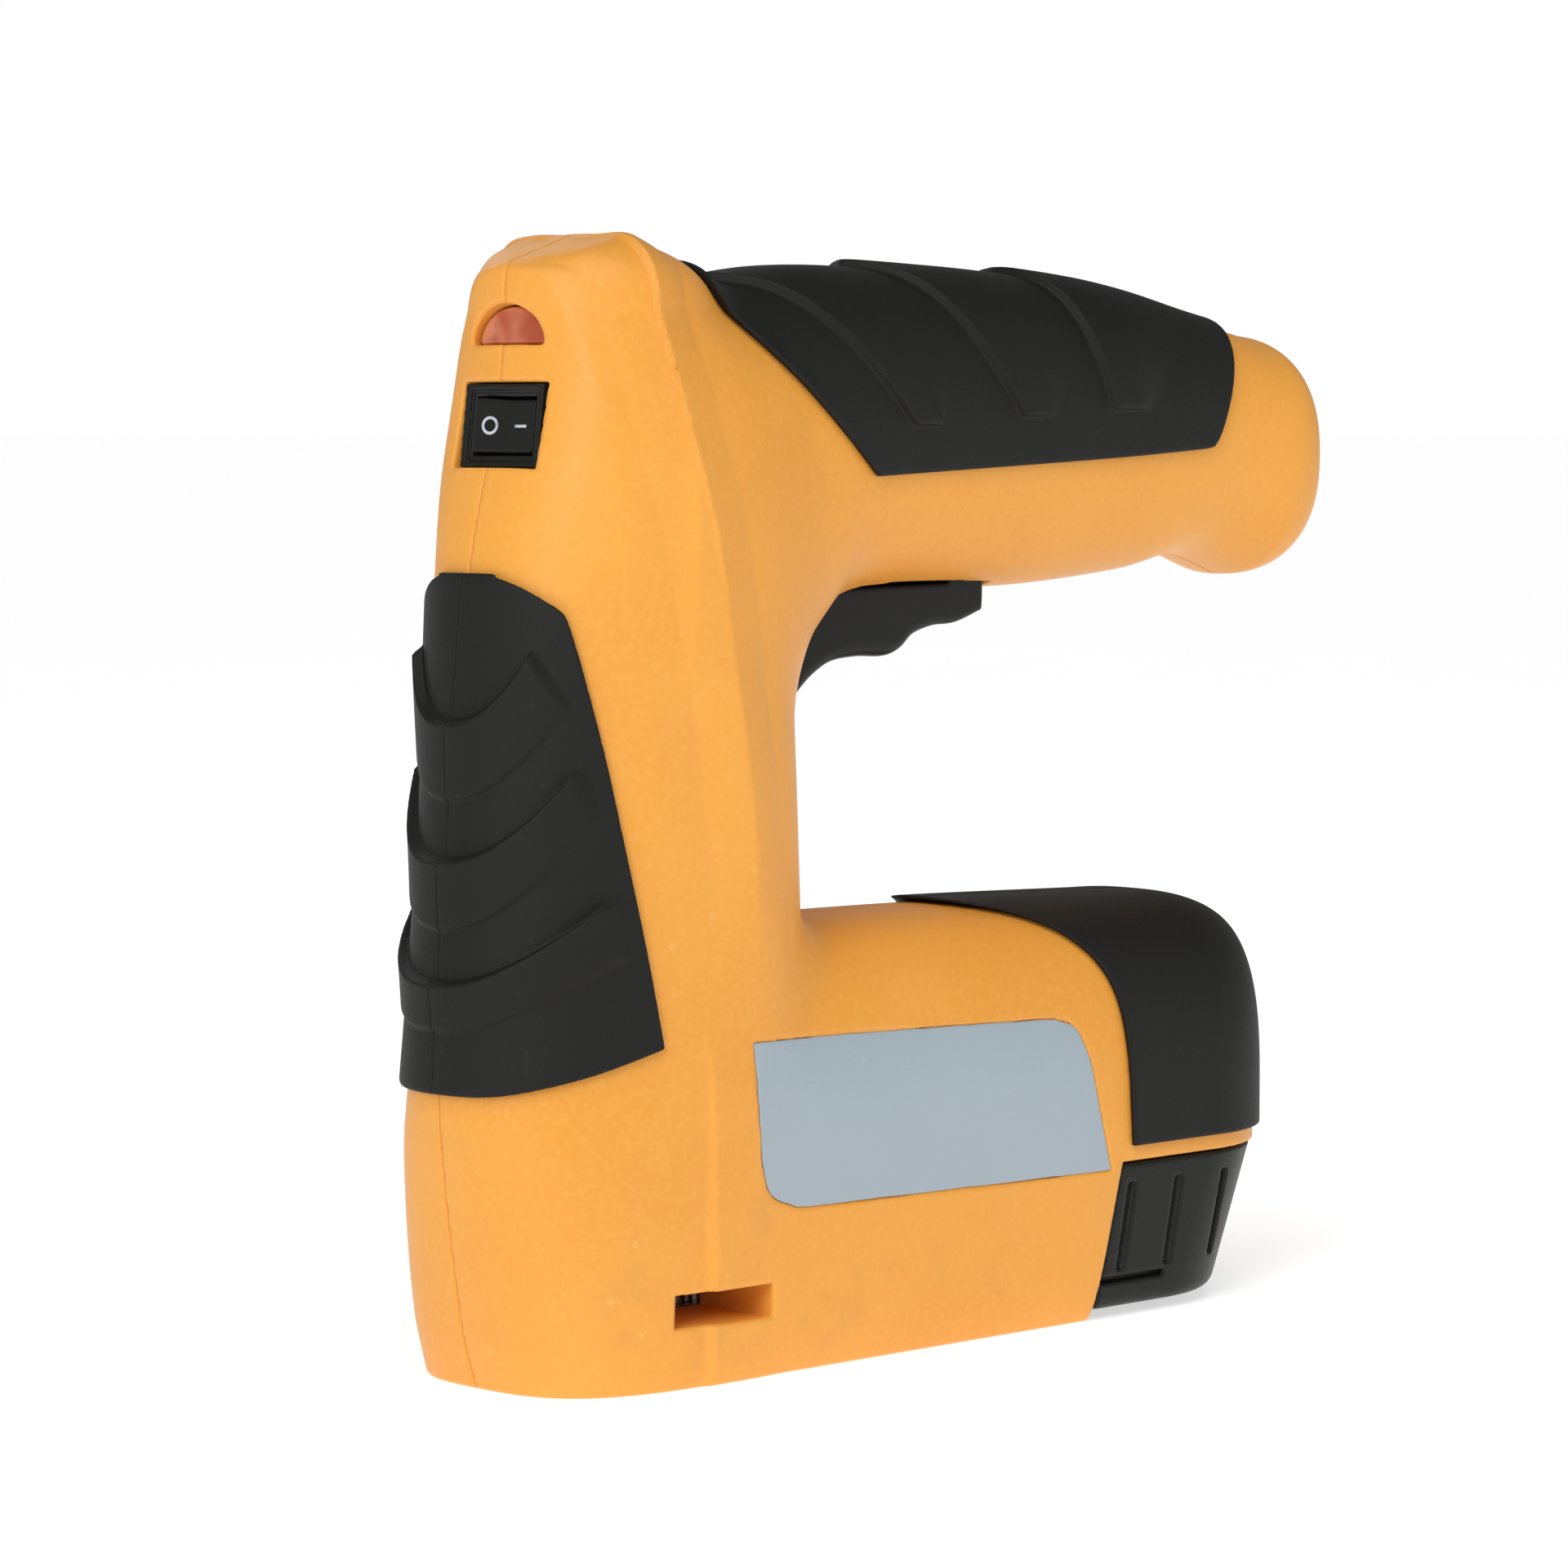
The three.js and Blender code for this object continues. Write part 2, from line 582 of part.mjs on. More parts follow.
// ---- rocker switch: a frame in the recess and a button that tips about an upright pin ----
const FRAME_DEPTH = 3.4; // front of the frame behind the panel
const FRAME_LONG = 11;
const frameBody = box(
  FRAME_DEPTH, FRAME_DEPTH + FRAME_LONG, -FRAME_WIDE / 2, FRAME_WIDE / 2, -FRAME_HIGH / 2,
  FRAME_HIGH / 2,
);
const framePocket = box(
  FRAME_DEPTH - 1, FRAME_DEPTH + 5.6,
  -BUTTON_WIDE / 2 - 1.1, BUTTON_WIDE / 2 + 1.1,
  -BUTTON_HIGH / 2 - FIT, BUTTON_HIGH / 2 + FIT,
);
node("rocker_frame", leaning(frameBody.subtract(framePocket), ROCKER_Z, 0), BLACK);

// The two faces of the button meet in a shallow valley; at rest the side toward -Y is pressed in.
const ROCKER_TIP = THREE.MathUtils.degToRad(20);
const ROCKER_PIVOT = FRAME_DEPTH + 2.6; // pin behind the panel face
function buttonSolid() {
  const half = BUTTON_WIDE / 2;
  const shape = new THREE.Shape();
  const tip = Math.tan(ROCKER_TIP / 2) * half;
  shape.moveTo(-1.6 - tip, -half);
  shape.lineTo(-1.6, 0);
  shape.lineTo(-1.6 - tip, half);
  shape.lineTo(0.4, half - 0.4);
  shape.lineTo(1.6, 1.2);
  shape.lineTo(1.6, -1.2);
  shape.lineTo(0.4, 0.4 - half);
  shape.closePath();
  const geometry = new THREE.ExtrudeGeometry(shape, { depth: BUTTON_HIGH, bevelEnabled: false });
  geometry.translate(0, 0, -BUTTON_HIGH / 2);
  geometry.rotateZ(ROCKER_TIP / 2);
  geometry.translate(ROCKER_PIVOT, 0, 0);
  return solid(geometry);
}
node("rocker_button", leaning(buttonSolid(), ROCKER_Z, 0), BLACK);

// ---- indicator lens in the half-round window, and the light behind it ----
node("indicator_lens", leaning(frontPlate(windowShape(-FIT), 1.6, 3.2), WINDOW_LOW, 0), RED);
const lightZ = WINDOW_LOW + WINDOW_HIGH / 2 - 0.6;
const lightX = columnFront(WINDOW_LOW) + 3.9;
const bulb = bar("x", lightX + 0.3, lightX + 4, 0, lightZ, 1.5, 12);
node("indicator_led", bulb.add(bar("x", lightX + 3.4, lightX + 4.4, 0, lightZ, 1.9, 12)), RED);
node("led_board", box(lightX + 4.7, lightX + 5.9, -6, 6, WINDOW_LOW - 2.6, WINDOW_LOW + 6), GREEN);

// ---- charging socket in the end of the handle, with its board ----
const SOCKET_LONG = 11;
const socketBack = HANDLE_END - 1.2;
const socketBody = bar("x", socketBack - SOCKET_LONG, socketBack, 0, SOCKET_Z, 4.7, 20);
const socketHole = bar("x", socketBack - 8.5, socketBack + 5, 0, SOCKET_Z, 2.9, 16);
const socketPin = bar("x", socketBack - 9, socketBack - 1, 0, SOCKET_Z, 0.8, 8);
node("charge_socket", socketBody.subtract(socketHole).add(socketPin), BLACK);
const boardX = socketBack - SOCKET_LONG - FIT;
node("charge_board", box(boardX - 1.4, boardX, -8, 8, SOCKET_Z - 7, SOCKET_Z + 13), GREEN);

// ---- four cells, two by two, between contact plates ----
const packZ = (handleTop(CELL_FRONT + CELL_LONG / 2) + handleUnder(CELL_FRONT + CELL_LONG / 2)) / 2;
const cellStep = CELL_RADIUS + CELL_GAP / 2;
let cellNumber = 0;
for (const y of [-cellStep, cellStep]) {
  for (const z of [packZ - cellStep, packZ + cellStep]) {
    cellNumber++;
    const can = bar("x", CELL_FRONT, CELL_FRONT + CELL_LONG - 1, y, z, CELL_RADIUS, 20);
    const button = bar("x", CELL_FRONT + CELL_LONG - 1.5, CELL_FRONT + CELL_LONG, y, z, 2.6, 12);
    node("battery_cell_" + cellNumber, can.add(button), CELL);
  }
}
const contactHalf = cellStep + 3;
node(
  "battery_contact_front",
  box(
    CELL_FRONT - FIT - 0.6, CELL_FRONT - FIT, -contactHalf, contactHalf, packZ - contactHalf,
    packZ + contactHalf,
  ),
  STEEL,
);
const contactBack = CELL_FRONT + CELL_LONG + FIT;
node(
  "battery_contact_rear",
  box(contactBack, contactBack + 0.6, -contactHalf, contactHalf, packZ - contactHalf, packZ + contactHalf),
  STEEL,
);

// ---- trigger: a lever under the handle that swings on a pin at its back end ----
const TRIGGER_FRONT = COLUMN_BACK + 3.6;
const triggerShape = new THREE.Shape();
triggerShape.moveTo(TRIGGER_FRONT, HANDLE_UNDER - 18.1);
// The finger hollow: each bend goes by (back from the front, below the handle) to the next such point.
const fingerHollow = [[3, 14.5, 9, 11.5], [16, 10.3, 22, 10.7], [25, 10, 28, 7.1], [33, 5.9, 38, 5.7]];
for (const [backBy, lowBy, back, low] of fingerHollow) {
  triggerShape.quadraticCurveTo(
    TRIGGER_FRONT + backBy,
    HANDLE_UNDER - lowBy,
    TRIGGER_FRONT + back,
    HANDLE_UNDER - low,
  );
}
triggerShape.lineTo(TRIGGER_PIN_X + 3.4, HANDLE_UNDER - 3.9);
triggerShape.lineTo(TRIGGER_PIN_X + 3.4, TRIGGER_PIN_Z);
triggerShape.absarc(TRIGGER_PIN_X, TRIGGER_PIN_Z, 3.4, 0, Math.PI, false);
triggerShape.lineTo(TRIGGER_PIN_X - 5, HANDLE_UNDER + 1);
triggerShape.lineTo(TRIGGER_FRONT + 12, HANDLE_UNDER + 0.6);
triggerShape.quadraticCurveTo(TRIGGER_FRONT + 2, HANDLE_UNDER - 1, TRIGGER_FRONT, HANDLE_UNDER - 7.5);
triggerShape.closePath();
const pinHole = new THREE.Path();
pinHole.absarc(TRIGGER_PIN_X, TRIGGER_PIN_Z, TRIGGER_PIN_RADIUS + 0.1, 0, 2 * Math.PI, true);
node("trigger", sidePlate(triggerShape, -TRIGGER_HALF, TRIGGER_HALF, [pinHole]), BLACK);
node(
  "trigger_pin",
  bar("y", -TRIGGER_HALF - 3.4, TRIGGER_HALF + 3.4, TRIGGER_PIN_X, TRIGGER_PIN_Z, TRIGGER_PIN_RADIUS, 16),
  STEEL,
);

// A coil of round wire standing on the XY plane, with its turns close to the ends of the height given.
class Coil extends THREE.Curve {
  constructor(radius, height, turns) {
    super();
    this.radius = radius;
    this.height = height;
    this.turns = turns;
  }
  getPoint(t, target = new THREE.Vector3()) {
    const angle = t * this.turns * 2 * Math.PI;
    return target.set(this.radius * Math.cos(angle), this.radius * Math.sin(angle), t * this.height);
  }
}
function coil(radius, wire, height, turns, stepsPerTurn = 8) {
  const shape = new THREE.Shape();
  shape.absarc(0, 0, wire / 2, 0, 2 * Math.PI, false);
  return new THREE.ExtrudeGeometry(shape, {
    steps: Math.round(turns * stepsPerTurn),
    curveSegments: 2,
    bevelEnabled: false,
    extrudePath: new Coil(radius, height - wire, turns),
  }).translate(0, 0, wire / 2);
}

const TRIGGER_SPRING_X = TRIGGER_FRONT + 11;
const triggerTop = HANDLE_UNDER + 0.9;
const triggerSpringHigh = 11;
node(
  "trigger_spring",
  solid(coil(2.4, 0.8, triggerSpringHigh, 5).translate(TRIGGER_SPRING_X, 0, triggerTop + 0.3)),
  STEEL,
);
const seatLow = triggerTop + triggerSpringHigh + 0.6;
const seatHalf = HANDLE_HALF - WALL - 1.4;
node(
  "trigger_spring_bar",
  box(TRIGGER_SPRING_X - 3.2, TRIGGER_SPRING_X + 3.2, -seatHalf, seatHalf, seatLow, seatLow + 2.4),
  BLACK,
);

const SWITCH_X = TRIGGER_PIN_X - 18;
const plungerLow = triggerTop + 0.1;
node(
  "switch_plunger",
  box(SWITCH_X - 1.2, SWITCH_X + 1.2, -1.6, 1.6, plungerLow + 0.3, plungerLow + 6),
  RED,
);
const switchBody = box(SWITCH_X - 5, SWITCH_X + 11, -3.2, 3.2, plungerLow + 3.4, plungerLow + 14);
const plungerWell = box(SWITCH_X - 1.5, SWITCH_X + 1.5, -1.9, 1.9, plungerLow, plungerLow + 8.4);
node("micro_switch", switchBody.subtract(plungerWell), BLACK);

// ---- gears: plain straight-sided teeth on a disc; the first tooth points along the angle given ----
function gearShape(module, teeth, aim, kept = teeth) {
  const pitch = (module * teeth) / 2;
  const tip = pitch + module * 0.9;
  const root = pitch - module * 1.2;
  const step = (2 * Math.PI) / teeth;
  const shape = new THREE.Shape();
  const put = (radius, angle, first) => {
    const move = first ? "moveTo" : "lineTo";
    shape[move](radius * Math.cos(angle), radius * Math.sin(angle));
  };
  for (let i = 0; i < teeth; i++) {
    const middle = aim + i * step;
    put(root, middle - step * 0.36, i === 0);
    if (i < kept) {
      put(tip, middle - step * 0.12);
      put(tip, middle + step * 0.12);
    }
    put(root, middle + step * 0.36);
  }
  shape.closePath();
  return shape;
}
function gear(module, teeth, aim, x0, x1, y, z, kept) {
  return frontPlate(gearShape(module, teeth, aim, kept), x0, x1).translate([0, y, z]);
}

const lifterRadius = (DRIVE_MODULE * LIFTER_TEETH) / 2;
const smallRadius = (DRIVE_MODULE * SMALL_TEETH) / 2;
const middleReach = lifterRadius + smallRadius;
const MIDDLE_Z = LIFTER_Z - Math.sqrt(middleReach ** 2 - MIDDLE_Y ** 2);
const towardMiddle = Math.atan2(MIDDLE_Z - LIFTER_Z, MIDDLE_Y);
const middleRadius = (MOTOR_MODULE * MIDDLE_TEETH) / 2;
const pinionRadius = (MOTOR_MODULE * PINION_TEETH) / 2;
const MOTOR_Z = MIDDLE_Z + Math.sqrt((middleRadius + pinionRadius) ** 2 - MIDDLE_Y ** 2);
const towardMotor = Math.atan2(MOTOR_Z - MIDDLE_Z, -MIDDLE_Y);
const sectorRadius = (DRIVE_MODULE * SECTOR_TEETH) / 2;
const sectorStep = (2 * Math.PI) / SECTOR_TEETH;
const SECTOR_KEPT = 7;
const BORE = SHAFT_RADIUS + 0.15;

const SECTOR_X = 30;
const LIFTER_X = 41.5;
const BIG_X = 50;
const gearHole = (x0, x1, y, z) => bar("x", x0, x1, y, z, BORE, 14);
let lifter = gear(DRIVE_MODULE, LIFTER_TEETH, towardMiddle, LIFTER_X, LIFTER_X + 5, 0, LIFTER_Z);
lifter = lifter.add(bar("x", SECTOR_X, LIFTER_X + 1, 0, LIFTER_Z, 5, 16));
lifter = lifter.add(
  gear(
    DRIVE_MODULE,
    SECTOR_TEETH,
    -(SECTOR_KEPT - 1) * sectorStep,
    SECTOR_X,
    SECTOR_X + 7,
    0,
    LIFTER_Z,
    SECTOR_KEPT,
  )
);
node("lifter_gear", lifter.subtract(gearHole(SECTOR_X - 1, LIFTER_X + 6, 0, LIFTER_Z)), WHITE);
node("lifter_shaft", bar("x", SECTOR_X - 3.4, MOTOR_FRONT - 1, 0, LIFTER_Z, SHAFT_RADIUS, 14), STEEL);

const smallStep = Math.PI / SMALL_TEETH;
let middleGear = gear(
  DRIVE_MODULE, SMALL_TEETH, towardMiddle + Math.PI + smallStep, LIFTER_X, LIFTER_X + 6, MIDDLE_Y,
  MIDDLE_Z,
);
middleGear = middleGear.add(bar("x", LIFTER_X + 5, BIG_X + 1, MIDDLE_Y, MIDDLE_Z, 3.4, 14));
middleGear = middleGear.add(
  gear(MOTOR_MODULE, MIDDLE_TEETH, towardMotor, BIG_X, BIG_X + 5, MIDDLE_Y, MIDDLE_Z)
);
node("middle_gear", middleGear.subtract(gearHole(LIFTER_X - 1, BIG_X + 6, MIDDLE_Y, MIDDLE_Z)), WHITE);
node(
  "middle_shaft", bar("x", SECTOR_X - 3.4, MOTOR_FRONT - 1, MIDDLE_Y, MIDDLE_Z, SHAFT_RADIUS, 14), STEEL,
);

const pinionAim = towardMotor + Math.PI + Math.PI / PINION_TEETH;
const pinion = gear(MOTOR_MODULE, PINION_TEETH, pinionAim, BIG_X - 0.5, BIG_X + 5.5, 0, MOTOR_Z);
const MOTOR_SHAFT = 1;
const motorShaft = bar("x", BIG_X + 5, MOTOR_FRONT + MOTOR_LONG - 4, 0, MOTOR_Z, MOTOR_SHAFT, 12);
node("motor_pinion", pinion.add(motorShaft), BRASS);
const motorHole = bar(
  "x", MOTOR_FRONT - 5, MOTOR_FRONT + MOTOR_LONG - 3, 0, MOTOR_Z, MOTOR_SHAFT + 0.3, 12,
);
const can = bar("x", MOTOR_FRONT, MOTOR_FRONT + MOTOR_LONG - 5, 0, MOTOR_Z, MOTOR_RADIUS, 24);
const nose = bar("x", MOTOR_FRONT - 1.8, MOTOR_FRONT + 1, 0, MOTOR_Z, 4.6, 16);
node("motor_can", can.add(nose).subtract(motorHole), STEEL);
const capStart = MOTOR_FRONT + MOTOR_LONG - 5 + FIT;
const cap = bar("x", capStart, capStart + 5, 0, MOTOR_Z, MOTOR_RADIUS - 0.6, 24);
node("motor_end_cap", cap.subtract(motorHole), BLACK);

// Two plates hold the shafts.
function plateShape(middleHole) {
  const shape = new THREE.Shape();
  shape.moveTo(-14, MIDDLE_Z - 6);
  shape.lineTo(4, MIDDLE_Z - 6);
  shape.lineTo(9, MOTOR_Z - 4);
  shape.lineTo(9, LIFTER_Z + 8);
  shape.lineTo(-6, LIFTER_Z + 8);
  shape.lineTo(-14, MIDDLE_Z + 6);
  shape.closePath();
  for (const [y, z, radius] of middleHole) {
    const hole = new THREE.Path();
    hole.absarc(y, z, radius, 0, 2 * Math.PI, true);
    shape.holes.push(hole);
  }
  return shape;
}
const shaftHoles = [[0, LIFTER_Z, BORE + 0.15], [MIDDLE_Y, MIDDLE_Z, BORE + 0.15]];
node("gear_plate_front", frontPlate(plateShape(shaftHoles), SECTOR_X - 2.6, SECTOR_X - 0.6), STEEL);
const rearPlate = frontPlate(plateShape([]), MOTOR_FRONT - 3.4, MOTOR_FRONT - 2.1);
const rearHoles = bar("x", 50, 60, 0, LIFTER_Z, BORE + 0.15, 14)
  .add(bar("x", 50, 60, MIDDLE_Y, MIDDLE_Z, BORE + 0.15, 14))
  .add(bar("x", 50, 60, 0, MOTOR_Z, MOTOR_SHAFT + 0.5, 14));
node("gear_plate_rear", rearPlate.subtract(rearHoles), STEEL);

// ---- hammer with its rack, driven up by the toothed sector and down by the main spring ----
const pitch = Math.PI * DRIVE_MODULE;
const hammerTop = HAMMER_LOW + HAMMER_HIGH;
const rackLow = LIFTER_Z - SECTOR_KEPT * pitch;
const rackHigh = LIFTER_Z + pitch;
const rackShape = new THREE.Shape();
const rackBack = sectorRadius + 1.25 + 3.4;
rackShape.moveTo(rackBack, rackLow - 1.4);
rackShape.lineTo(rackBack, hammerTop);
rackShape.lineTo(sectorRadius + 1.25, hammerTop);
for (let z = rackHigh - pitch / 2; z > rackLow; z -= pitch) {
  rackShape.lineTo(sectorRadius + 1.25, z + pitch * 0.36);
  rackShape.lineTo(sectorRadius - 0.9, z + pitch * 0.12);
  rackShape.lineTo(sectorRadius - 0.9, z - pitch * 0.12);
  rackShape.lineTo(sectorRadius + 1.25, z - pitch * 0.36);
}
rackShape.lineTo(sectorRadius + 1.25, rackLow - 1.4);
rackShape.closePath();
let hammer = box(BLADE_X + 1.1, 22, -8, 8, HAMMER_LOW, hammerTop);
hammer = hammer.add(box(18, SECTOR_X + 7, 3, rackBack, hammerTop - 8, hammerTop));
hammer = hammer.add(frontPlate(rackShape, SECTOR_X, SECTOR_X + 7));
hammer = hammer.subtract(bar("z", HAMMER_LOW - 1, hammerTop + 1, HAMMER_X, 0, ROD_RADIUS + FIT, 14));
node("hammer", hammer, DARK_STEEL);
const bladeLow = CHANNEL_FLOOR + 1.2;
node(
  "driver_blade",
  box(
    BLADE_X - BLADE_THICK / 2, BLADE_X + BLADE_THICK / 2, -STAPLE_WIDE / 2, STAPLE_WIDE / 2, bladeLow,
    hammerTop - 4,
  ),
  STEEL,
);
const springHigh = SPRING_SEAT - hammerTop - 0.8;
node(
  "main_spring",
  solid(coil(SPRING_RADIUS, SPRING_WIRE, springHigh, 6, 10).translate(HAMMER_X, 0, hammerTop + 0.4)),
  STEEL,
);
node(
  "spring_seat",
  bar("z", SPRING_SEAT, SPRING_SEAT + 2.4, HAMMER_X, 0, SPRING_RADIUS + 2, 20).subtract(
    bar("z", SPRING_SEAT - 1, SPRING_SEAT + 4, HAMMER_X, 0, ROD_RADIUS + FIT, 14)
  ),
  STEEL,
);
node(
  "hammer_buffer",
  box(BLADE_X + 2.4, 22, -8, 8, HAMMER_LOW - 6.4, HAMMER_LOW - FIT).subtract(
    bar("z", HAMMER_LOW - 9, HAMMER_LOW, HAMMER_X, 0, ROD_RADIUS + FIT, 14)
  ),
  RUBBER,
);
node("guide_rod", bar("z", HAMMER_LOW - 5.6, SPRING_SEAT + 1.8, HAMMER_X, 0, ROD_RADIUS, 14), STEEL);

// ---- nose plate, magazine channel, staples and the parts that push them ----
node(
  "nose_plate",
  box(noseFront, noseBack, -CHANNEL_WIDE / 2, CHANNEL_WIDE / 2, 0, CHANNEL_FLOOR + CHANNEL_HIGH + 5),
  STEEL,
);
const channelHalf = CHANNEL_WIDE / 2;
const channelTop = CHANNEL_FLOOR + CHANNEL_HIGH;
let channel = box(CHANNEL_START, CHANNEL_END, -channelHalf, channelHalf, CHANNEL_FLOOR, channelTop);
channel = channel.subtract(box(
  CHANNEL_START - 1, CHANNEL_END + 1,
  CHANNEL_WALL - channelHalf, channelHalf - CHANNEL_WALL,
  CHANNEL_FLOOR + CHANNEL_WALL, channelTop - CHANNEL_WALL,
));
channel = channel.subtract(box(20, 39, -FAR, FAR, 9.5, 14.6));
node("magazine_channel", channel, STEEL);

const stripTop = CHANNEL_FLOOR + CHANNEL_WALL + 0.4 + STAPLE_LEG;
const stripStart = CHANNEL_START + 0.4;
const stripEnd = stripStart + STRIP_LONG;
const strip = box(stripStart, stripEnd, -STAPLE_WIDE / 2, STAPLE_WIDE / 2, stripTop - STAPLE_LEG, stripTop)
  .subtract(
    box(stripStart - 1, stripEnd + 1, WIRE - STAPLE_WIDE / 2, STAPLE_WIDE / 2 - WIRE, 0, stripTop - WIRE)
  );
node("staple_strip", strip, STEEL);

const railHalf = RAIL_WIDE / 2;
const railLow = stripTop - STAPLE_LEG + 0.8;
const railTop = stripTop - WIRE - 0.4;
const railEnd = LATCH_FRONT + 2;
let rail = box(stripStart, railEnd, -railHalf, railHalf, railLow, railTop);
rail = rail.subtract(
  box(
    stripStart + 2, railEnd + 1, RAIL_WALL - railHalf, railHalf - RAIL_WALL, railLow + RAIL_WALL,
    railTop + 1,
  )
);
node("magazine_rail", rail, STEEL);
const pusherStart = stripEnd + 0.4;
const rodZ = railLow + RAIL_WALL + 2.9;
let pusher = box(
  pusherStart, pusherStart + PUSHER_LONG, -STAPLE_WIDE / 2, STAPLE_WIDE / 2, railLow, stripTop + 1.4,
);
pusher = pusher.subtract(
  box(
    pusherStart - 1, pusherStart + PUSHER_LONG + 1, -railHalf - 0.3, -railHalf + RAIL_WALL + 0.3, 0,
    railTop + 0.4,
  )
);
pusher = pusher.subtract(
  box(
    pusherStart - 1, pusherStart + PUSHER_LONG + 1, railHalf - RAIL_WALL - 0.3, railHalf + 0.3, 0,
    railTop + 0.4,
  )
);
pusher = pusher.subtract(
  box(pusherStart - 1, pusherStart + PUSHER_LONG + 1, -railHalf, railHalf, 0, railLow + RAIL_WALL + 0.3)
);
const ROD_THIN = 1;
pusher = pusher.subtract(
  bar("x", pusherStart - 1, pusherStart + PUSHER_LONG + 1, 0, rodZ, ROD_THIN + 0.25, 12)
);
node("staple_pusher", pusher, BLACK);
node("pusher_rod", bar("x", stripStart + 2.4, railEnd - 0.4, 0, rodZ, ROD_THIN, 12), STEEL);
const pusherSpringLong = railEnd - 1.4 - (pusherStart + PUSHER_LONG + 0.4);
const pusherSpring = coil(1.9, 0.7, pusherSpringLong, 9, 8).rotateY(Math.PI / 2).translate(
  pusherStart + PUSHER_LONG + 0.4, 0, rodZ,
);
node("pusher_spring", solid(pusherSpring), STEEL);

// ---- magazine latch: the black cap at the back that pulls the rail out ----
// Its outline from above has a round back; leaning it forward makes the sloping back face.
function latchBody(grow) {
  const half = HALF_WIDTH - 0.5 + grow;
  const round = REAR_ROUND - 1;
  const shape = new THREE.Shape();
  shape.moveTo(90, -half);
  shape.lineTo(BODY_END - 1 - round, -half);
  shape.absellipse(BODY_END - 1 - round, 0, round + grow, half, -Math.PI / 2, Math.PI / 2, false);
  shape.lineTo(90, half);
  shape.closePath();
  const high = LATCH_TOP - LATCH_LOW;
  const geometry = new THREE.ExtrudeGeometry(shape, { depth: high, bevelEnabled: false, curveSegments: 9 });
  const shear = LATCH_BACK_SLANT / high;
  geometry.applyMatrix4(
    new THREE.Matrix4().set(1, 0, shear, -LATCH_BACK_SLANT, 0, 1, 0, 0, 0, 0, 1, LATCH_LOW, 0, 0, 0, 1)
  );
  return solid(geometry).intersect(sidePlate(latchRegion(0), -FAR, FAR));
}
let latch = latchBody(0);
const grooveCore = latchBody(-1);
for (const x of [LATCH_FRONT + 2.6, LATCH_FRONT + 14, LATCH_FRONT + 26]) {
  const groove = sidePlate(
    [[x - 3, 8], [x - 2, 8], [x + 1, LATCH_TOP - 3.4], [x, LATCH_TOP - 3.4]], -FAR, FAR,
  );
  latch = latch.subtract(groove.subtract(grooveCore));
}
const railSocket = box(90, railEnd + FIT, -railHalf - 0.3, railHalf + 0.3, railLow - 0.3, railTop + 0.3);
latch = latch.subtract(railSocket);
node("magazine_latch", latch, BLACK);

for (const mesh of group.children) mesh.position.x = -(noseFront + noseBack) / 2;

export default group;
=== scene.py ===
# %% [markdown]
# # A cordless staple gun, dressed for its portrait
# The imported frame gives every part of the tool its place, its size and the body that it moves with. This
# notebook lays finished surfaces over that frame: moulded shells with a real wall, rubber covers with raised
# ribs, a rocker switch, a lens, a trigger, a latch, and a material for each finish.

# %% Start from the frame
import json
import math

import bpy
import numpy as np
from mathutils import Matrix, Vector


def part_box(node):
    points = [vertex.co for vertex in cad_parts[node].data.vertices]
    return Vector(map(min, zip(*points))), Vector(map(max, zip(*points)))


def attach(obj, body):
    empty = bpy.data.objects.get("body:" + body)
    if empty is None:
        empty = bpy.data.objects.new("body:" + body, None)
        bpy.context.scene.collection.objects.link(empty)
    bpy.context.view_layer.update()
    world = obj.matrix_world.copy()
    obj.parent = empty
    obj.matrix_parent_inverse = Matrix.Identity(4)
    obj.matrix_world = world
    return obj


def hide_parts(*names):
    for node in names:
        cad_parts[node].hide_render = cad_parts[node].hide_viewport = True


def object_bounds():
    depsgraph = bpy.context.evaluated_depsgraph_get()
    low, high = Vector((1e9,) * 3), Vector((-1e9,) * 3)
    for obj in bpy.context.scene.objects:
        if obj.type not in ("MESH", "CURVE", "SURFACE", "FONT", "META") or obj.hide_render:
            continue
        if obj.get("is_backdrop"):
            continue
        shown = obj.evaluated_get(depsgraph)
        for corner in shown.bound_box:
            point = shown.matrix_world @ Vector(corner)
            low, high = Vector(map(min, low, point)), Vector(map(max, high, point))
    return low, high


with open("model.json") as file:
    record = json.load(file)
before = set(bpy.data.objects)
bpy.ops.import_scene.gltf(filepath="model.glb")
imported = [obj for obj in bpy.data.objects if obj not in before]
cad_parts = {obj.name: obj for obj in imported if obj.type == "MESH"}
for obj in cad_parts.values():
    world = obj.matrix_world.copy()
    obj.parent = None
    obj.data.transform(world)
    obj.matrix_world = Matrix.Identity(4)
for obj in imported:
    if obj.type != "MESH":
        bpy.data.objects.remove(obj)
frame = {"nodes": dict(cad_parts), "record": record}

import openvdb
from mathutils import Matrix, Vector

cad_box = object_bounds()

# %% [markdown]
# ## One ruler
# The shapes below are worked out in millimetres, in the drawing's own X, which counts from the seam at the
# foot of the nose. The frame counts from the middle of the steel nose plate, so one shift takes a finished
# mesh from the drawing to the frame. Sizes that the frame knows are read from it rather than typed again.

# %% Sizes read from the frame
METRE = 1000.0
NOSE_SHIFT = 4.25  # from the front seam to the middle of the nose plate


def node_box(name):
    """Lowest and highest corner of a frame node, in the drawing's millimetres."""
    low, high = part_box(name)
    move = np.array([NOSE_SHIFT, 0, 0])
    return np.array(low) * METRE + move, np.array(high) * METRE + move


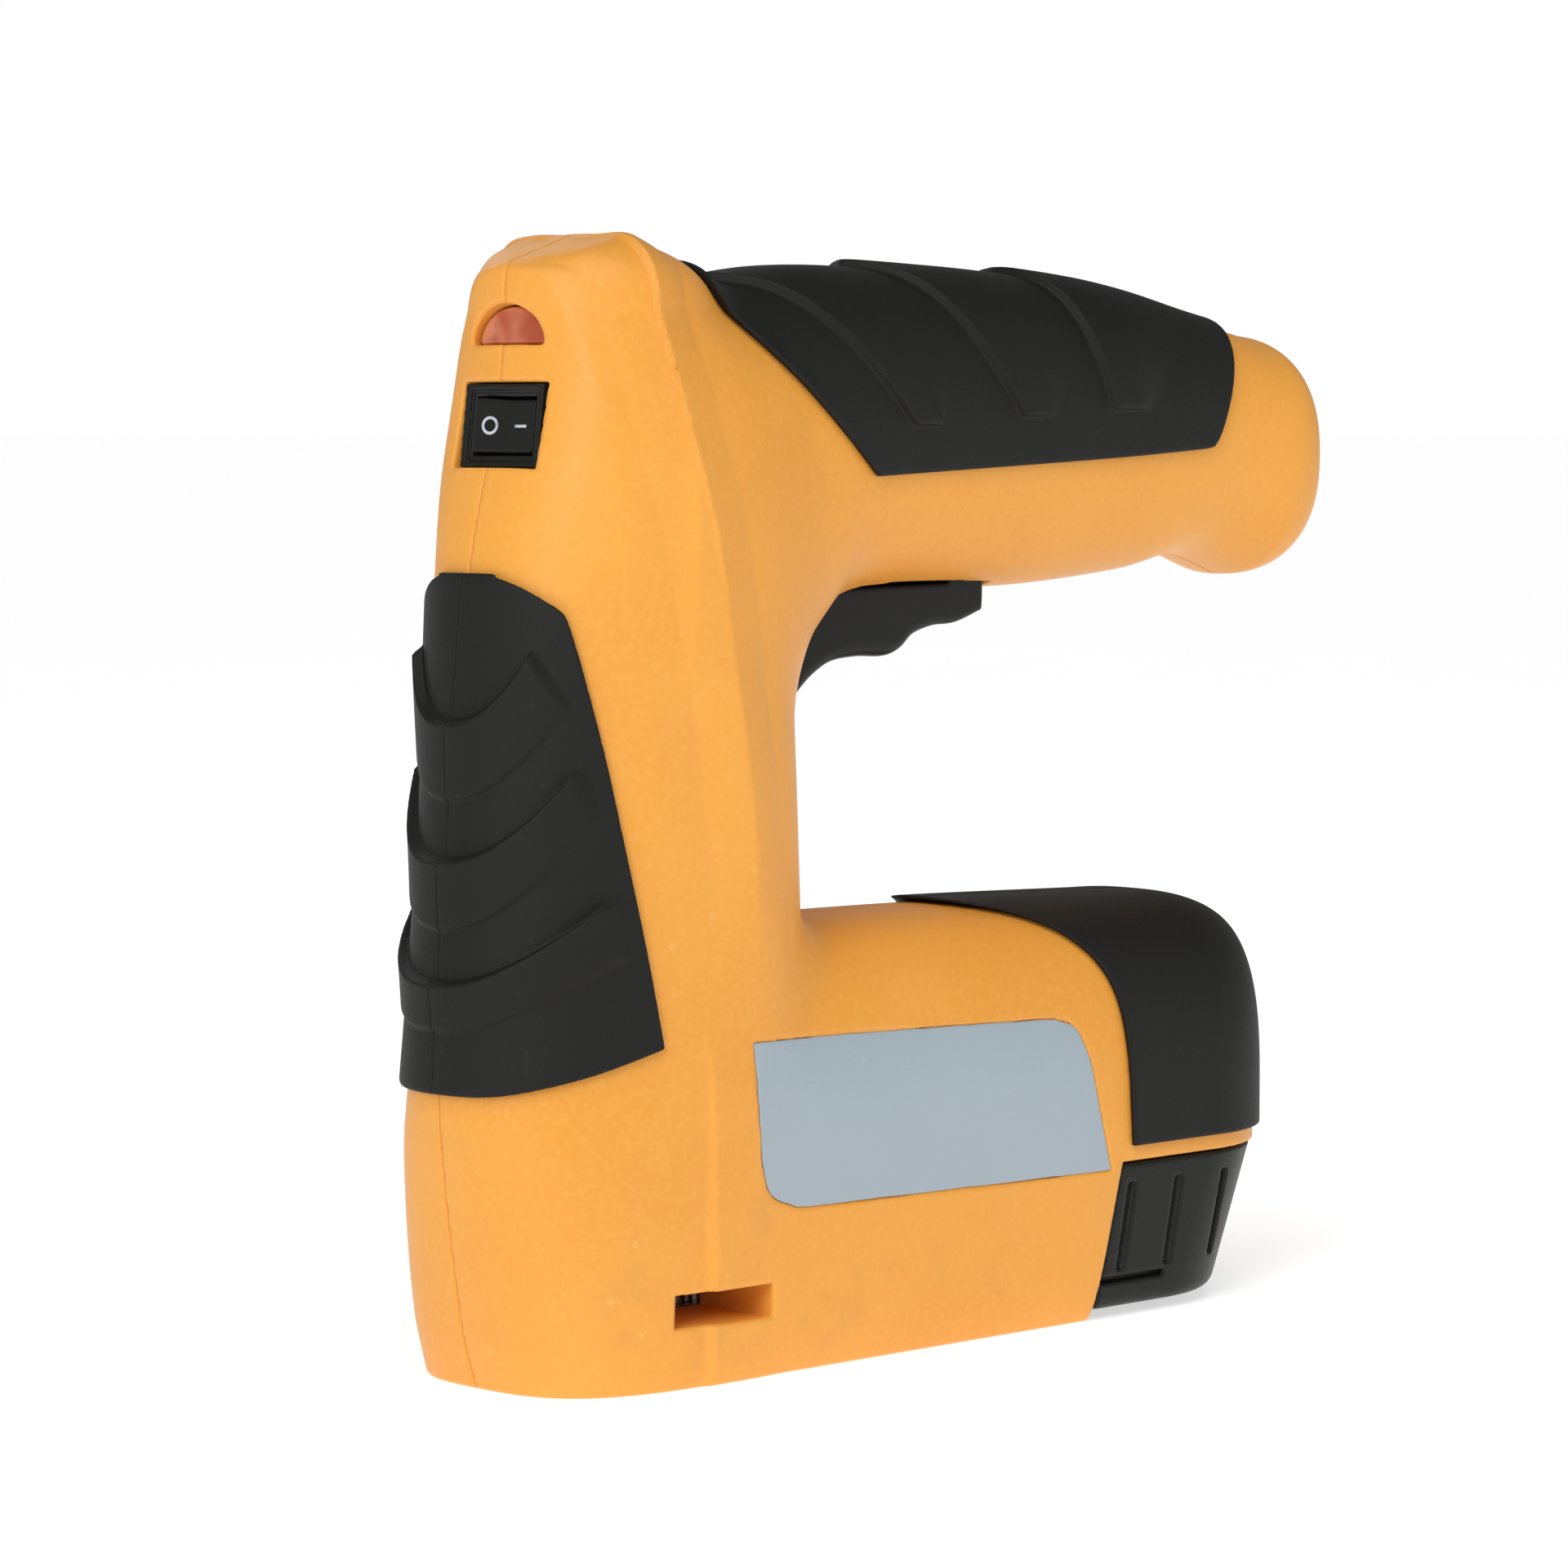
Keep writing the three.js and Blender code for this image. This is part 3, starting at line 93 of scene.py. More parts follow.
_, shell_high = node_box("housing_right")
cover_low, cover_high = node_box("rear_bumper_right")
latch_low, latch_high = node_box("magazine_latch")
HEAD_TOP = shell_high[2]
HANDLE_END = shell_high[0]
HALF_WIDTH = 24.6
BUMPER_PROUD = 1.2
BODY_END = cover_high[0] - BUMPER_PROUD
print("head top %.1f, handle end %.1f, body end %.1f" % (HEAD_TOP, HANDLE_END, BODY_END))

# %% Sizes of the moulded shell
BODY_TOP = 68.0
HANDLE_TOP = 169.2
HANDLE_UNDER = 119.5
HANDLE_HALF = 18.4
COLUMN_BACK = 56.6  # back of the column, where the hand gap starts
WALL = 2.4
NECK = HEAD_TOP - 12  # the crown starts here
CROWN_BACK = 22.0
POMMEL = HANDLE_END - 15  # deepest place of the drooping handle end
GRIP_BACK = HANDLE_END - 29
BODY_MIDDLE = 34.0
REAR_ROUND = 25.0

# %% [markdown]
# ## Shapes as distances
# A moulded shell with soft blends, pockets and a constant wall is awkward to push together from faces. It is
# easy to write as a formula that says how far a point is from the surface, negative inside: two bodies join
# by taking the smaller distance, a pocket is cut by taking the larger one, and a wall is the same distance
# moved inwards. The skin is drawn afterwards, where the formula is zero. Every edge gets its small moulded
# radius from the same blend.

# %% Joining, cutting and rounding
def join(a, b, radius):
    """The two shapes as one, with a fillet of about that radius where they meet."""
    mix = np.clip(0.5 + 0.5 * (b - a) / radius, 0, 1)
    return b + (a - b) * mix - radius * mix * (1 - mix)


def common(a, b, radius):
    """What the two shapes share, with its edges rounded."""
    return -join(-a, -b, radius)


def cut(a, tool, radius):
    """The first shape without the second, with its edges rounded."""
    return common(a, -tool, radius)


def ramp(low, high, value):
    """0 before low, 1 after high, and smooth in between."""
    t = np.clip((value - low) / (high - low), 0, 1)
    return t * t * (3 - 2 * t)


def block(x, y, z, low, high):
    """Distance to a box between two corners."""
    sides = [np.maximum(a - p, p - b) for p, a, b in zip((x, y, z), low, high)]
    return np.maximum(np.maximum(sides[0], sides[1]), sides[2])


# %% A smooth line through a few stations
def line(*stations):
    """The value along an axis, given as (where, value) pairs with a smooth run between them."""
    place, value = np.array(stations, float).T
    before = np.maximum(np.arange(len(place)) - 1, 0)
    after = np.minimum(np.arange(len(place)) + 1, len(place) - 1)
    slope = (value[after] - value[before]) / (place[after] - place[before])

    def at(where):
        i = np.clip(np.searchsorted(place, where) - 1, 0, len(place) - 2)
        span = place[i + 1] - place[i]
        u = np.clip((where - place[i]) / span, 0, 1)
        start, end = (1 + 2 * u) * (1 - u) ** 2, u * u * (3 - 2 * u)
        bend = u * (1 - u) ** 2 * slope[i] - u * u * (1 - u) * slope[i + 1]
        return start * value[i] + end * value[i + 1] + span * bend

    return at


# %% A rounded section, closed off at one end by a dome
def rounded(along, across, half_along, half_across, power, reach=0.0, length=1.0, dome=2.0):
    """Distance to a rounded bar. reach runs from 0 where its dome starts to 1 at the tip."""
    u, v = np.abs(along) / half_along, np.abs(across) / half_across
    section = (u**power + v**power + 1e-12) ** (1 / power)
    lean_u, lean_v = (u / section) ** (power - 1) / half_along, (v / section) ** (power - 1) / half_across
    steep = lean_u**2 + lean_v**2
    reach = np.maximum(reach, 0.0)
    whole = np.sqrt(section**2 + reach**dome)
    tip = dome / 2 * reach ** (dome - 1) / length
    return (whole - 1) * whole / np.sqrt(section**2 * steep + tip**2)


# %% [markdown]
# ## The column and its head
# The column strikes the work, so it stands upright over the staples and carries the hammer. Its front leans
# back towards the head, bulges under the rubber grip and tucks in again at the foot. Across, it is a rounded
# section whose widest place, the crest, wanders backwards on the way down. The head is the same section
# closing into a dome.

# %% Column
column_front = line((0, 0), (10, -2.9), (34, -6.4), (47, -7.1), (88, -3.8), (124, -0.8), (150, 5), (165, 6.5))
column_crest = line((0, 32), (52, 36), (86, 34), (112, 30), (130, 26.5), (146, 22.5), (HEAD_TOP, 18))
column_half = line(
    (0, HALF_WIDTH - 1.6), (46, HALF_WIDTH - 0.2), (100, HALF_WIDTH - 0.9),
    (130, HALF_WIDTH - 1.6), (150, HALF_WIDTH - 3.6), (165, HALF_WIDTH - 7),
)
column_round = line((0, 3.1), (14, 3), (35, 2.6), (47, 2.25), (80, 2.05), (124, 2.1), (140, 2.3), (165, 2.2))
CREASE_PROUD, CREASE_WIDE = 2.0, 8.0  # the soft ridge down each side
# The flat front panel ends in an arch. Beyond the arch the surface falls away a little faster.
arch_half = line(
    (118, 21), (128.7, 20.6), (138.6, 19.9), (146.7, 18.2), (153.1, 16), (158, 14),
    (161.3, 11.9), (164.6, 9.9), (167.5, 7.6), (169.2, 4.9), (170.5, 0),
)
ARCH_SLOPE = 0.2
BROW_Z, BROW_LEAN = 170.6, math.radians(19)  # over the arch, the crown slopes back to its highest place


def column(x, y, z):
    level = np.minimum(z, NECK)
    crest = column_crest(level)
    reach = np.clip((z - NECK) / (HEAD_TOP - NECK), 0, 1.2)
    shrink = np.sqrt(np.maximum(1 - reach**2.6, 0.02))
    ahead = x < crest
    back = COLUMN_BACK - crest + (CROWN_BACK - COLUMN_BACK + crest) * ramp(148, NECK, z)
    half_along = np.where(ahead, (crest - column_front(level)) * shrink**-0.7, back * shrink**0.6)
    power = np.where(ahead, column_round(level), 2.3)
    shape = rounded(x - crest, y, half_along, column_half(level), power, reach, HEAD_TOP - NECK, 2.6)
    crease = CREASE_PROUD * np.maximum(0, 1 - np.abs(x - crest) / CREASE_WIDE)
    crease = crease * ramp(50, 92, z) * ramp(3, 11, np.abs(y))
    off_arch = np.clip(np.abs(y) - arch_half(z), 0, 6) * ARCH_SLOPE * ramp(116, 136, z) * ahead
    shape = shape - crease + off_arch
    brow = (z - BROW_Z) * math.cos(BROW_LEAN) - (x - 8) * math.sin(BROW_LEAN)
    return common(shape, brow, 1.2)


# %% [markdown]
# ## The handle and the lower body
# The handle is a rounded bar that ends in a drooping knob, so the hand can't slip off. The lower body is a
# flat-footed box with a round top for the fingers, and its rear corners are rounded in plan. All three
# bodies melt into one shell.

# %% Handle
handle_top = line(
    (24, HANDLE_TOP - 5.6), (38, HANDLE_TOP - 3.8), (62, HANDLE_TOP - 0.6), (92, HANDLE_TOP),
    (118, HANDLE_TOP - 0.6), (138, HANDLE_TOP - 2.4), (GRIP_BACK, HANDLE_TOP - 5.2), (POMMEL, HANDLE_TOP - 8),
)
handle_under = line(
    (24, HANDLE_UNDER - 26), (50, HANDLE_UNDER - 20), (60, HANDLE_UNDER - 10), (68, HANDLE_UNDER - 2.4),
    (80, HANDLE_UNDER), (112, HANDLE_UNDER), (138, HANDLE_UNDER + 2), (GRIP_BACK, HANDLE_UNDER + 4.6),
    (POMMEL, HANDLE_UNDER + 0.8),
)
handle_side = line(
    (24, HANDLE_HALF + 3), (40, HANDLE_HALF + 2.6), (60, HANDLE_HALF + 0.6), (90, HANDLE_HALF),
    (GRIP_BACK, HANDLE_HALF - 0.8), (POMMEL, HANDLE_HALF + 0.2),
)


def handle(x, y, z):
    place = np.minimum(x, POMMEL)
    middle = (handle_top(place) + handle_under(place)) / 2
    half = (handle_top(place) - handle_under(place)) / 2
    reach = (x - POMMEL) / (HANDLE_END - POMMEL)
    shape = rounded(z - middle, y, half, handle_side(place), 2.4, reach, HANDLE_END - POMMEL, 2.3)
    return np.maximum(shape, 27 - x)


# %% Lower body
body_top = line((28, BODY_TOP + 0.3), (90, BODY_TOP), (BODY_END - REAR_ROUND, BODY_TOP - 1.4))
REAR_FLAT = 0.35  # share of the rear that stays upright under its rounded top
FOOT_SPARE = 3.0  # the section runs on below the floor, so that the foot is cut straight


def lower_body(x, y, z):
    start = BODY_END - REAR_ROUND
    reach = np.clip((x - start) / REAR_ROUND, 0, 1.2)
    shrink = np.sqrt(np.maximum(1 - reach**2.2, 0.02))
    above = z > BODY_MIDDLE
    crown = body_top(np.minimum(x, start)) - BODY_MIDDLE
    over = crown * (REAR_FLAT + (1 - REAR_FLAT) * shrink**0.7)
    half_along = np.where(above, over, BODY_MIDDLE + FOOT_SPARE) / shrink
    power = np.where(above, 2.9, 9.0)
    shape = rounded(z - BODY_MIDDLE, y, half_along, HALF_WIDTH, power, reach, REAR_ROUND, 2.2)
    rise = np.maximum((z - BODY_MIDDLE) / crown - REAR_FLAT, 0) / (1 - REAR_FLAT)
    climb = 2 / 0.7 * rise ** (2 / 0.7 - 1) / (crown * (1 - REAR_FLAT))
    hood = (rise ** (2 / 0.7) + reach**2.2 - 1) / (np.hypot(climb, 2.2 * reach**1.2 / REAR_ROUND) + 1e-3)
    return np.maximum(np.maximum(shape, hood), 27 - x)


# %% The whole outside
FOOT_EDGE = 0.9


def outside(x, y, z):
    """The shell's outer face without pockets."""
    blend = 2 + 6 * np.exp(-(((x - COLUMN_BACK) / 12) ** 2) - ((z - BODY_TOP) / 12) ** 2)
    shape = join(join(column(x, y, z), handle(x, y, z), 7.0), lower_body(x, y, z), blend)
    return common(shape, 0.02 - z, FOOT_EDGE)


# %% [markdown]
# ## Drawing the skin
# The formula is sampled on a grid, and OpenVDB's mesher turns the zero level into quads. Those quads are a
# little stepped, so each corner is then walked along the slope of the formula until it lies on the surface,
# which removes the steps and lets a coarse grid give a clean moulding. Only the right half is drawn; the
# left is its mirror image.

# %% Mesh from a formula
BORDER = 3.0


def settle(points, shape, rounds=3):
    """Moves points onto the surface along the shape's own slope."""
    probe = 0.04
    for _ in range(rounds):
        here = shape(*points.T)
        rise = [shape(*(points + step).T) - shape(*(points - step).T) for step in np.eye(3) * probe]
        slope = np.stack(rise, axis=1) / (2 * probe)
        steep = np.maximum((slope**2).sum(1), 0.05)
        move = slope * (here / steep)[:, None]
        far = np.maximum(np.linalg.norm(move, axis=1), 1e-9)
        points = points - move * np.minimum(1, 0.35 / far)[:, None]
    return points


def skin(name, shape, low, high, step):
    """A mesh object over a formula, between two corners in the drawing's millimetres."""
    xs, ys, zs = (np.arange(a - 2 * step, b + 3 * step, step) for a, b in zip(low, high))
    values = np.empty((len(xs), len(ys), len(zs)), np.float32)
    slab = 24
    for i in range(0, len(xs), slab):
        values[i : i + slab] = shape(xs[i : i + slab, None, None], ys[None, :, None], zs[None, None, :])
    grid = openvdb.FloatGrid(BORDER)
    grid.copyFromArray(np.clip(values, -BORDER, BORDER))
    points, _, quads = grid.convertToPolygons(0.0)
    places = points * step + np.array([xs[0], ys[0], zs[0]])
    return mesh_piece(name, settle(places, shape), quads[:, ::-1])


# %% Mesh from points and faces
def mesh_piece(name, places, faces, smooth=True):
    """An object in the frame from points in the drawing's millimetres, and faces of equal corner count."""
    places, faces = np.asarray(places, float), np.asarray(faces, int)
    mesh = bpy.data.meshes.new(name)
    corners = faces.shape[1]
    mesh.vertices.add(len(places))
    mesh.vertices.foreach_set("co", ((places - [NOSE_SHIFT, 0, 0]) / METRE).astype(np.float32).ravel())
    mesh.loops.add(faces.size)
    mesh.loops.foreach_set("vertex_index", faces.astype(np.int32).ravel())
    mesh.polygons.add(len(faces))
    mesh.polygons.foreach_set("loop_start", np.arange(0, faces.size, corners, dtype=np.int32))
    mesh.update(calc_edges=True)
    mesh.validate()
    if smooth:
        mesh.shade_smooth()
    piece = bpy.data.objects.new(name, mesh)
    bpy.context.scene.collection.objects.link(piece)
    return piece


def mirrored(piece, name):
    """The same piece on the other side of the seam."""
    mesh = piece.data.copy()
    mesh.transform(Matrix.Scale(-1, 4, (0, 1, 0)))
    mesh.flip_normals()
    twin = bpy.data.objects.new(name, mesh)
    bpy.context.scene.collection.objects.link(twin)
    return twin


# %% [markdown]
# ## Outlines in the side view
# Covers and pockets are bounded by outlines that the designer drew in the side view. An outline is a chain
# of smooth stretches, with a corner where one stretch ends and the next starts. Its distance is measured
# flat, in X and Z.

# %% Outline and its distance
def stretch(*points):
    """A smooth stretch of an outline through its points."""
    pts = np.array(points, float)
    if len(pts) < 3:
        return pts
    ends = np.vstack([2 * pts[0] - pts[1], pts, 2 * pts[-1] - pts[-2]])
    t = np.linspace(0, 1, 7)[:-1, None]
    run = []
    for a, b, c, d in zip(ends, ends[1:], ends[2:], ends[3:]):
        bend = (2 * a - 5 * b + 4 * c - d) * t**2 + (3 * b - a - 3 * c + d) * t**3
        run.append(0.5 * (2 * b + (c - a) * t + bend))
    return np.vstack(run + [pts[-1:]])


def outline_distance(stretches, u, v):
    """Distance to the closed outline, negative inside. u and v are broadcast against each other."""
    corners = np.vstack(stretches)
    nearest, inside = 1e9, False
    for (ua, va), (ub, vb) in zip(corners, np.roll(corners, -1, axis=0)):
        du, dv = ub - ua, vb - va
        size = du * du + dv * dv
        if size < 1e-12:
            continue
        t = np.clip(((u - ua) * du + (v - va) * dv) / size, 0, 1)
        nearest = np.minimum(nearest, (u - ua - t * du) ** 2 + (v - va - t * dv) ** 2)
        crosses = ((va > v) != (vb > v)) & (u < ua + (v - va) / (dv if dv else 1e-9) * du)
        inside = inside ^ crosses
    return np.where(inside, -1, 1) * np.sqrt(nearest)


# %% [markdown]
# ## The two shell halves
# A power tool's shell is moulded in two halves that meet on a seam and are held by screws. Here each half is
# a real wall with screw posts inside, cut open where the real one is: the recess of the rocker switch, the
# half-round window, the slot of the trigger, the viewing slots of the magazine, the throat of the nose, the
# label pocket, the charging socket and the space of the latch. A little radius on the seam's edges makes the
# fine line down the front.

# %% Where things are cut
PANEL_LEAN = math.radians(6.6)  # the front panel leans back
ROCKER_Z = 146.0
RECESS_HALF, RECESS_HIGH = 9.5, 13.2
WINDOW_LOW, WINDOW_HALF, WINDOW_HIGH = 158.0, 8.2, 6.2
SLOT = (20.0, 39.0, 9.5, 14.6)  # viewing slot: front, back, bottom, top
TRIGGER_PIN_X, TRIGGER_PIN_Z, TRIGGER_HALF = 100.5, 125.0, 6.4
SOCKET_Z, SOCKET_RADIUS = 141.0, 4.7
LATCH_LEAN = 6.4 / 23.8
SEAM_GAP = 0.04
SCREW_SEAT = 2.3  # under the top of the head
screws = []  # place in X and Z, then the tip and the top of the head in Y
for number in range(1, 7):
    low, high = node_box("screw_%d" % number)
    screws.append((float(low[0] + high[0]) / 2, float(low[2] + high[2]) / 2, low[1], high[1]))
print("screws:", len(screws))


def panel(x, z, height):
    """Depth behind the leaning front panel and height along it, counted from a level."""
    front = column_front(np.float64(height))
    dx, dz = x - front, z - height
    c, s = math.cos(PANEL_LEAN), math.sin(PANEL_LEAN)
    return dx * c - dz * s, dx * s + dz * c


def plate(deep, y, up, front, back, half_wide, half_high):
    """Distance to a box that is centred on the seam and on its level."""
    return block(deep, y, up, (front, -half_wide, -half_high), (back, half_wide, half_high))


# %% Cutting tools
label_outline = [
    stretch((35, 52), (68, 51.3), (100, 50.4)),
    stretch((103, 50.2), (107.6, 48.4), (110.6, 43)),
    stretch((112.6, 35), (115.4, 24.6)),
    stretch((46, 25.7), (46, 25.7)),
    stretch((44, 25.9), (38.4, 28.4), (36.4, 34)),
]


def latch_region(x, z):
    front = latch_high[2]
    lean = (118.4 - x + (z - front) * LATCH_LEAN) / math.hypot(1, LATCH_LEAN)
    return np.maximum(lean, z - front)


def half_round(y, height):
    """The window's outline: a straight sill with a half ellipse on it."""
    ring = np.sqrt((y / WINDOW_HALF) ** 2 + (np.maximum(height, 0) / WINDOW_HIGH) ** 2 + 1e-9)
    return common((ring - 1) * WINDOW_HIGH, -height, 0.8)


def openings(x, y, z):
    """Everything that is cut through or into the shell from outside."""
    deep, up = panel(x, z, ROCKER_Z)
    recess = plate(deep, y, up, -12, 9, RECESS_HALF, RECESS_HIGH / 2)
    behind, above = panel(x, z, WINDOW_LOW)
    window = np.maximum(half_round(y, above), behind - 9)
    finger_end = (TRIGGER_PIN_X + 4.5, TRIGGER_HALF + 0.4, HANDLE_UNDER + 4.4)
    finger = block(x, y, z, (COLUMN_BACK - 1.2, -9, 96), finger_end)
    slot = block(x, -y, z, (SLOT[0], -60, SLOT[2]), (SLOT[1], -7.2, SLOT[3]))
    throat = block(x, y, z, (2.8, -9, -5), (9.4, 7.5, WALL + 2))
    socket = np.maximum(np.hypot(y, z - SOCKET_Z) - SOCKET_RADIUS - 0.25, HANDLE_END - 8 - x)
    latch = np.maximum(latch_region(x, z) - 0.2, 90 - x)
    found = recess
    for tool in (window, finger, slot, throat, socket, latch):
        found = np.minimum(found, tool)
    return found


# %% What stays solid inside
def inner_posts(x, y, z):
    """Screw posts, the wells behind recess and window, and the chute behind the viewing slot."""
    found = 1e3
    for px, pz, _, _ in screws:
        found = np.minimum(found, np.hypot(x - px, z - pz) - 3.2)
    deep, up = panel(x, z, ROCKER_Z)
    found = np.minimum(found, plate(deep, y, up, -12, 8, 11, 8))
    behind, above = panel(x, z, WINDOW_LOW)
    found = np.minimum(found, block(behind, y, above, (-12, -10, -2), (3.2, 10, 8.4)))
    chute = block(x, -y, z, (SLOT[0] - 1.4, -60, SLOT[2] - 1.4), (SLOT[1] + 1.4, -7.6, SLOT[3] + 1.4))
    return np.minimum(found, chute)


# %% One half of the shell
LABEL_DEEP = 0.55


def shell_half(x, y, z, with_screws):
    face = outside(x, y, z)
    pocket = np.maximum(outline_distance(label_outline, x, z) - 0.12, -face - LABEL_DEEP)
    hollow = common(face + WALL, -inner_posts(x, y, z), 0.6)
    shape = cut(cut(face, hollow, 0.3), openings(x, y, z), 0.45)
    shape = cut(shape, np.maximum(pocket, 40 - y * 4), 0.12)
    for px, pz, _, top in screws if with_screws else []:
        round_ = np.hypot(x - px, z - pz)
        sink = np.maximum(round_ - 3.1, top - SCREW_SEAT - y)
        shape = cut(shape, np.minimum(sink, round_ - 1.7), 0.25)
    return common(shape, SEAM_GAP - y, 0.22)


# %% Draw both halves
SHELL_STEP = 0.55
shell_low_corner = (column_front(47.0) - 1.5, -0.4, -0.3)
shell_high_corner = (HANDLE_END + 0.5, HALF_WIDTH + 1.2, HEAD_TOP + 0.8)
housing_right, plain_half = (
    skin(name, lambda *at: shell_half(*at, holed), shell_low_corner, shell_high_corner, SHELL_STEP)
    for name, holed in (("shell_right", True), ("shell_plain", False))
)
housing_left = mirrored(plain_half, "shell_left")
bpy.data.objects.remove(plain_half)
print("shell:", len(housing_right.data.polygons), "and", len(housing_left.data.polygons), "faces")

# %% [markdown]
# ## Soft covers
# The rubber is moulded over the shell, so it follows the shell at a constant height and only its outline and
# its ribs are its own. Each cover is the shell's distance less a height that changes over the surface: a
# base, and the raised ribs with a steep ledge on one side and a shallow step on the other. A rounded common
# with the outline trims it.

# %% A cover over the shell
GRIP_PROUD = 1.4
UNDER_GAP = 0.05


def cover(height, outline, edge=0.5):
    """A formula for a soft cover with that height and outline, on the right half."""

    def shape(x, y, z):
        face = outside(x, y, z)
        skin_only = common(face - height(x, y, z), UNDER_GAP - face, 0.04)
        return common(common(skin_only, outline_distance(outline, x, z), edge), SEAM_GAP - y, 0.15)

    return shape


def stand_in(piece, body, node, slot):
    """The piece in its slot's finish, riding on the body in place of the frame node."""
    dress(piece, finishes[slot])
    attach(piece, body)
    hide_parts(node)
    print(piece.name, len(piece.data.polygons), "faces")


def both_sides(name, slot, shape, low, high, step):
    """The right-hand piece and its mirror image, each standing for its frame node."""
    right = skin(name + "_right_skin", shape, low, high, step)
    stand_in(mirrored(right, name + "_left_skin"), "housing", name + "_left", slot)
    stand_in(right, "housing", name + "_right", slot)


# %% [markdown]
# ## Finishes from noise
# A finish is a small graph of nodes. Written as nodes it is long and hard to read, so a wire here is an
# object that adds, subtracts and multiplies like a number. Colours never go through plain maths, which would
# turn them grey: they are mixed by a mask.

# %% A wire and a bench
class Wire:
    """A node's output, so that shader maths reads like ordinary maths."""

    def __init__(self, bench, socket):
        self.bench, self.socket = bench, socket

    def maths(self, operation, first, second=0.0):
        return self.bench.add("ShaderNodeMath", {"operation": operation}, {0: first, 1: second})

    def __add__(self, other):
        return self.maths("ADD", self, other)

    def __rsub__(self, other):
        return self.maths("SUBTRACT", other, self)

    def __mul__(self, other):
        return self.maths("MULTIPLY", self, other)

    def __gt__(self, other):
        return self.maths("GREATER_THAN", self, other)

    def __lt__(self, other):
        return self.maths("LESS_THAN", self, other)

    __radd__, __rmul__ = __add__, __mul__


class Graph:
    """A tree of nodes being built."""

    def __init__(self, owner):
        owner.use_nodes = True
        self.tree = owner.node_tree

    def add(self, kind, settings=None, sockets=None, output=0):
        """A node of that kind with its settings and its sockets' values or wires. Gives one output's wire."""
        made = self.tree.nodes.new(kind)
        for key, value in (settings or {}).items():
            setattr(made, key, value)
        for key, value in (sockets or {}).items():
            self.feed(made.inputs[key], value)
        return Wire(self, made.outputs[output])

    def feed(self, socket, value):
        if isinstance(value, Wire):
            self.tree.links.new(value.socket, socket)
        elif isinstance(value, tuple) and len(value) == 3 and socket.type == "RGBA":
            socket.default_value = (*value, 1)
        else:
            socket.default_value = value


class Bench(Graph):
    """A material being made, with its shader and the point on the piece that its patterns are drawn over."""

    def __init__(self, name, **fixed):
        self.material = bpy.data.materials.new(name)
        super().__init__(self.material)
        self.shader = self.tree.nodes["Principled BSDF"]
        self.point = self.add("ShaderNodeTexCoord", output="Object")
        self.set(**fixed)

    def set(self, **sockets):
        """Values or wires for the shader's own sockets, named with underscores for spaces."""
        for key, value in sockets.items():
            self.feed(self.shader.inputs[key.replace("_", " ")], value)
        return self

    def noise(self, scale, detail=2.0, rough=0.5, stretch_=None):
        point = self.point
        if stretch_:
            point = self.add("ShaderNodeMapping", {}, {"Vector": point, "Scale": stretch_})
        sockets = {"Vector": point, "Scale": scale, "Detail": detail, "Roughness": rough}
        return self.add("ShaderNodeTexNoise", {}, sockets)

    def spots(self, scale, size, share):
        """A mask of small round spots: how many to the metre, their size in a cell, the share kept."""
        cells = {"Vector": self.point, "Scale": scale}
        near = self.add("ShaderNodeTexVoronoi", {}, cells, output="Distance")
        pick = self.add("ShaderNodeTexVoronoi", {}, cells, output="Color")
        tone = self.add("ShaderNodeSeparateColor", {}, {"Color": pick}, output=0)
        return (near < tone * size) * (tone < share) * (tone > share * 0.25)

    def between(self, low, high, value):
        """0 below low, 1 above high."""
        sockets = {"Value": value, 1: low, 2: high}
        return self.add("ShaderNodeMapRange", {"interpolation_type": "SMOOTHSTEP"}, sockets)

    def mix(self, mask, first, second):
        """The first colour where the mask is 0, the second where it is 1."""
        return self.add("ShaderNodeMix", {"data_type": "RGBA"}, {0: mask, 6: first, 7: second}, output=2)

    def height(self, along):
        """How far along an axis of the piece, in metres."""
        return self.add("ShaderNodeSeparateXYZ", {}, {0: self.point}, output=along)

    def bump(self, height, depth, strength=1.0, over=None):
        """A normal from a height, whose full swing is depth metres."""
        sockets = {"Height": height, "Distance": depth, "Strength": strength}
        if over:
            sockets["Normal"] = over
        return self.add("ShaderNodeBump", {}, sockets)

    def edges(self, low, high):
        """A mask of the edges and ridges that stand out, where hands and tables rub; on the yellow shell it
        also carries a painted highlight.
        """
        return self.between(low, high, self.add("ShaderNodeNewGeometry", output="Pointiness"))


def dress(piece, finish):
    piece.data.materials.clear()
    piece.data.materials.append(finish)
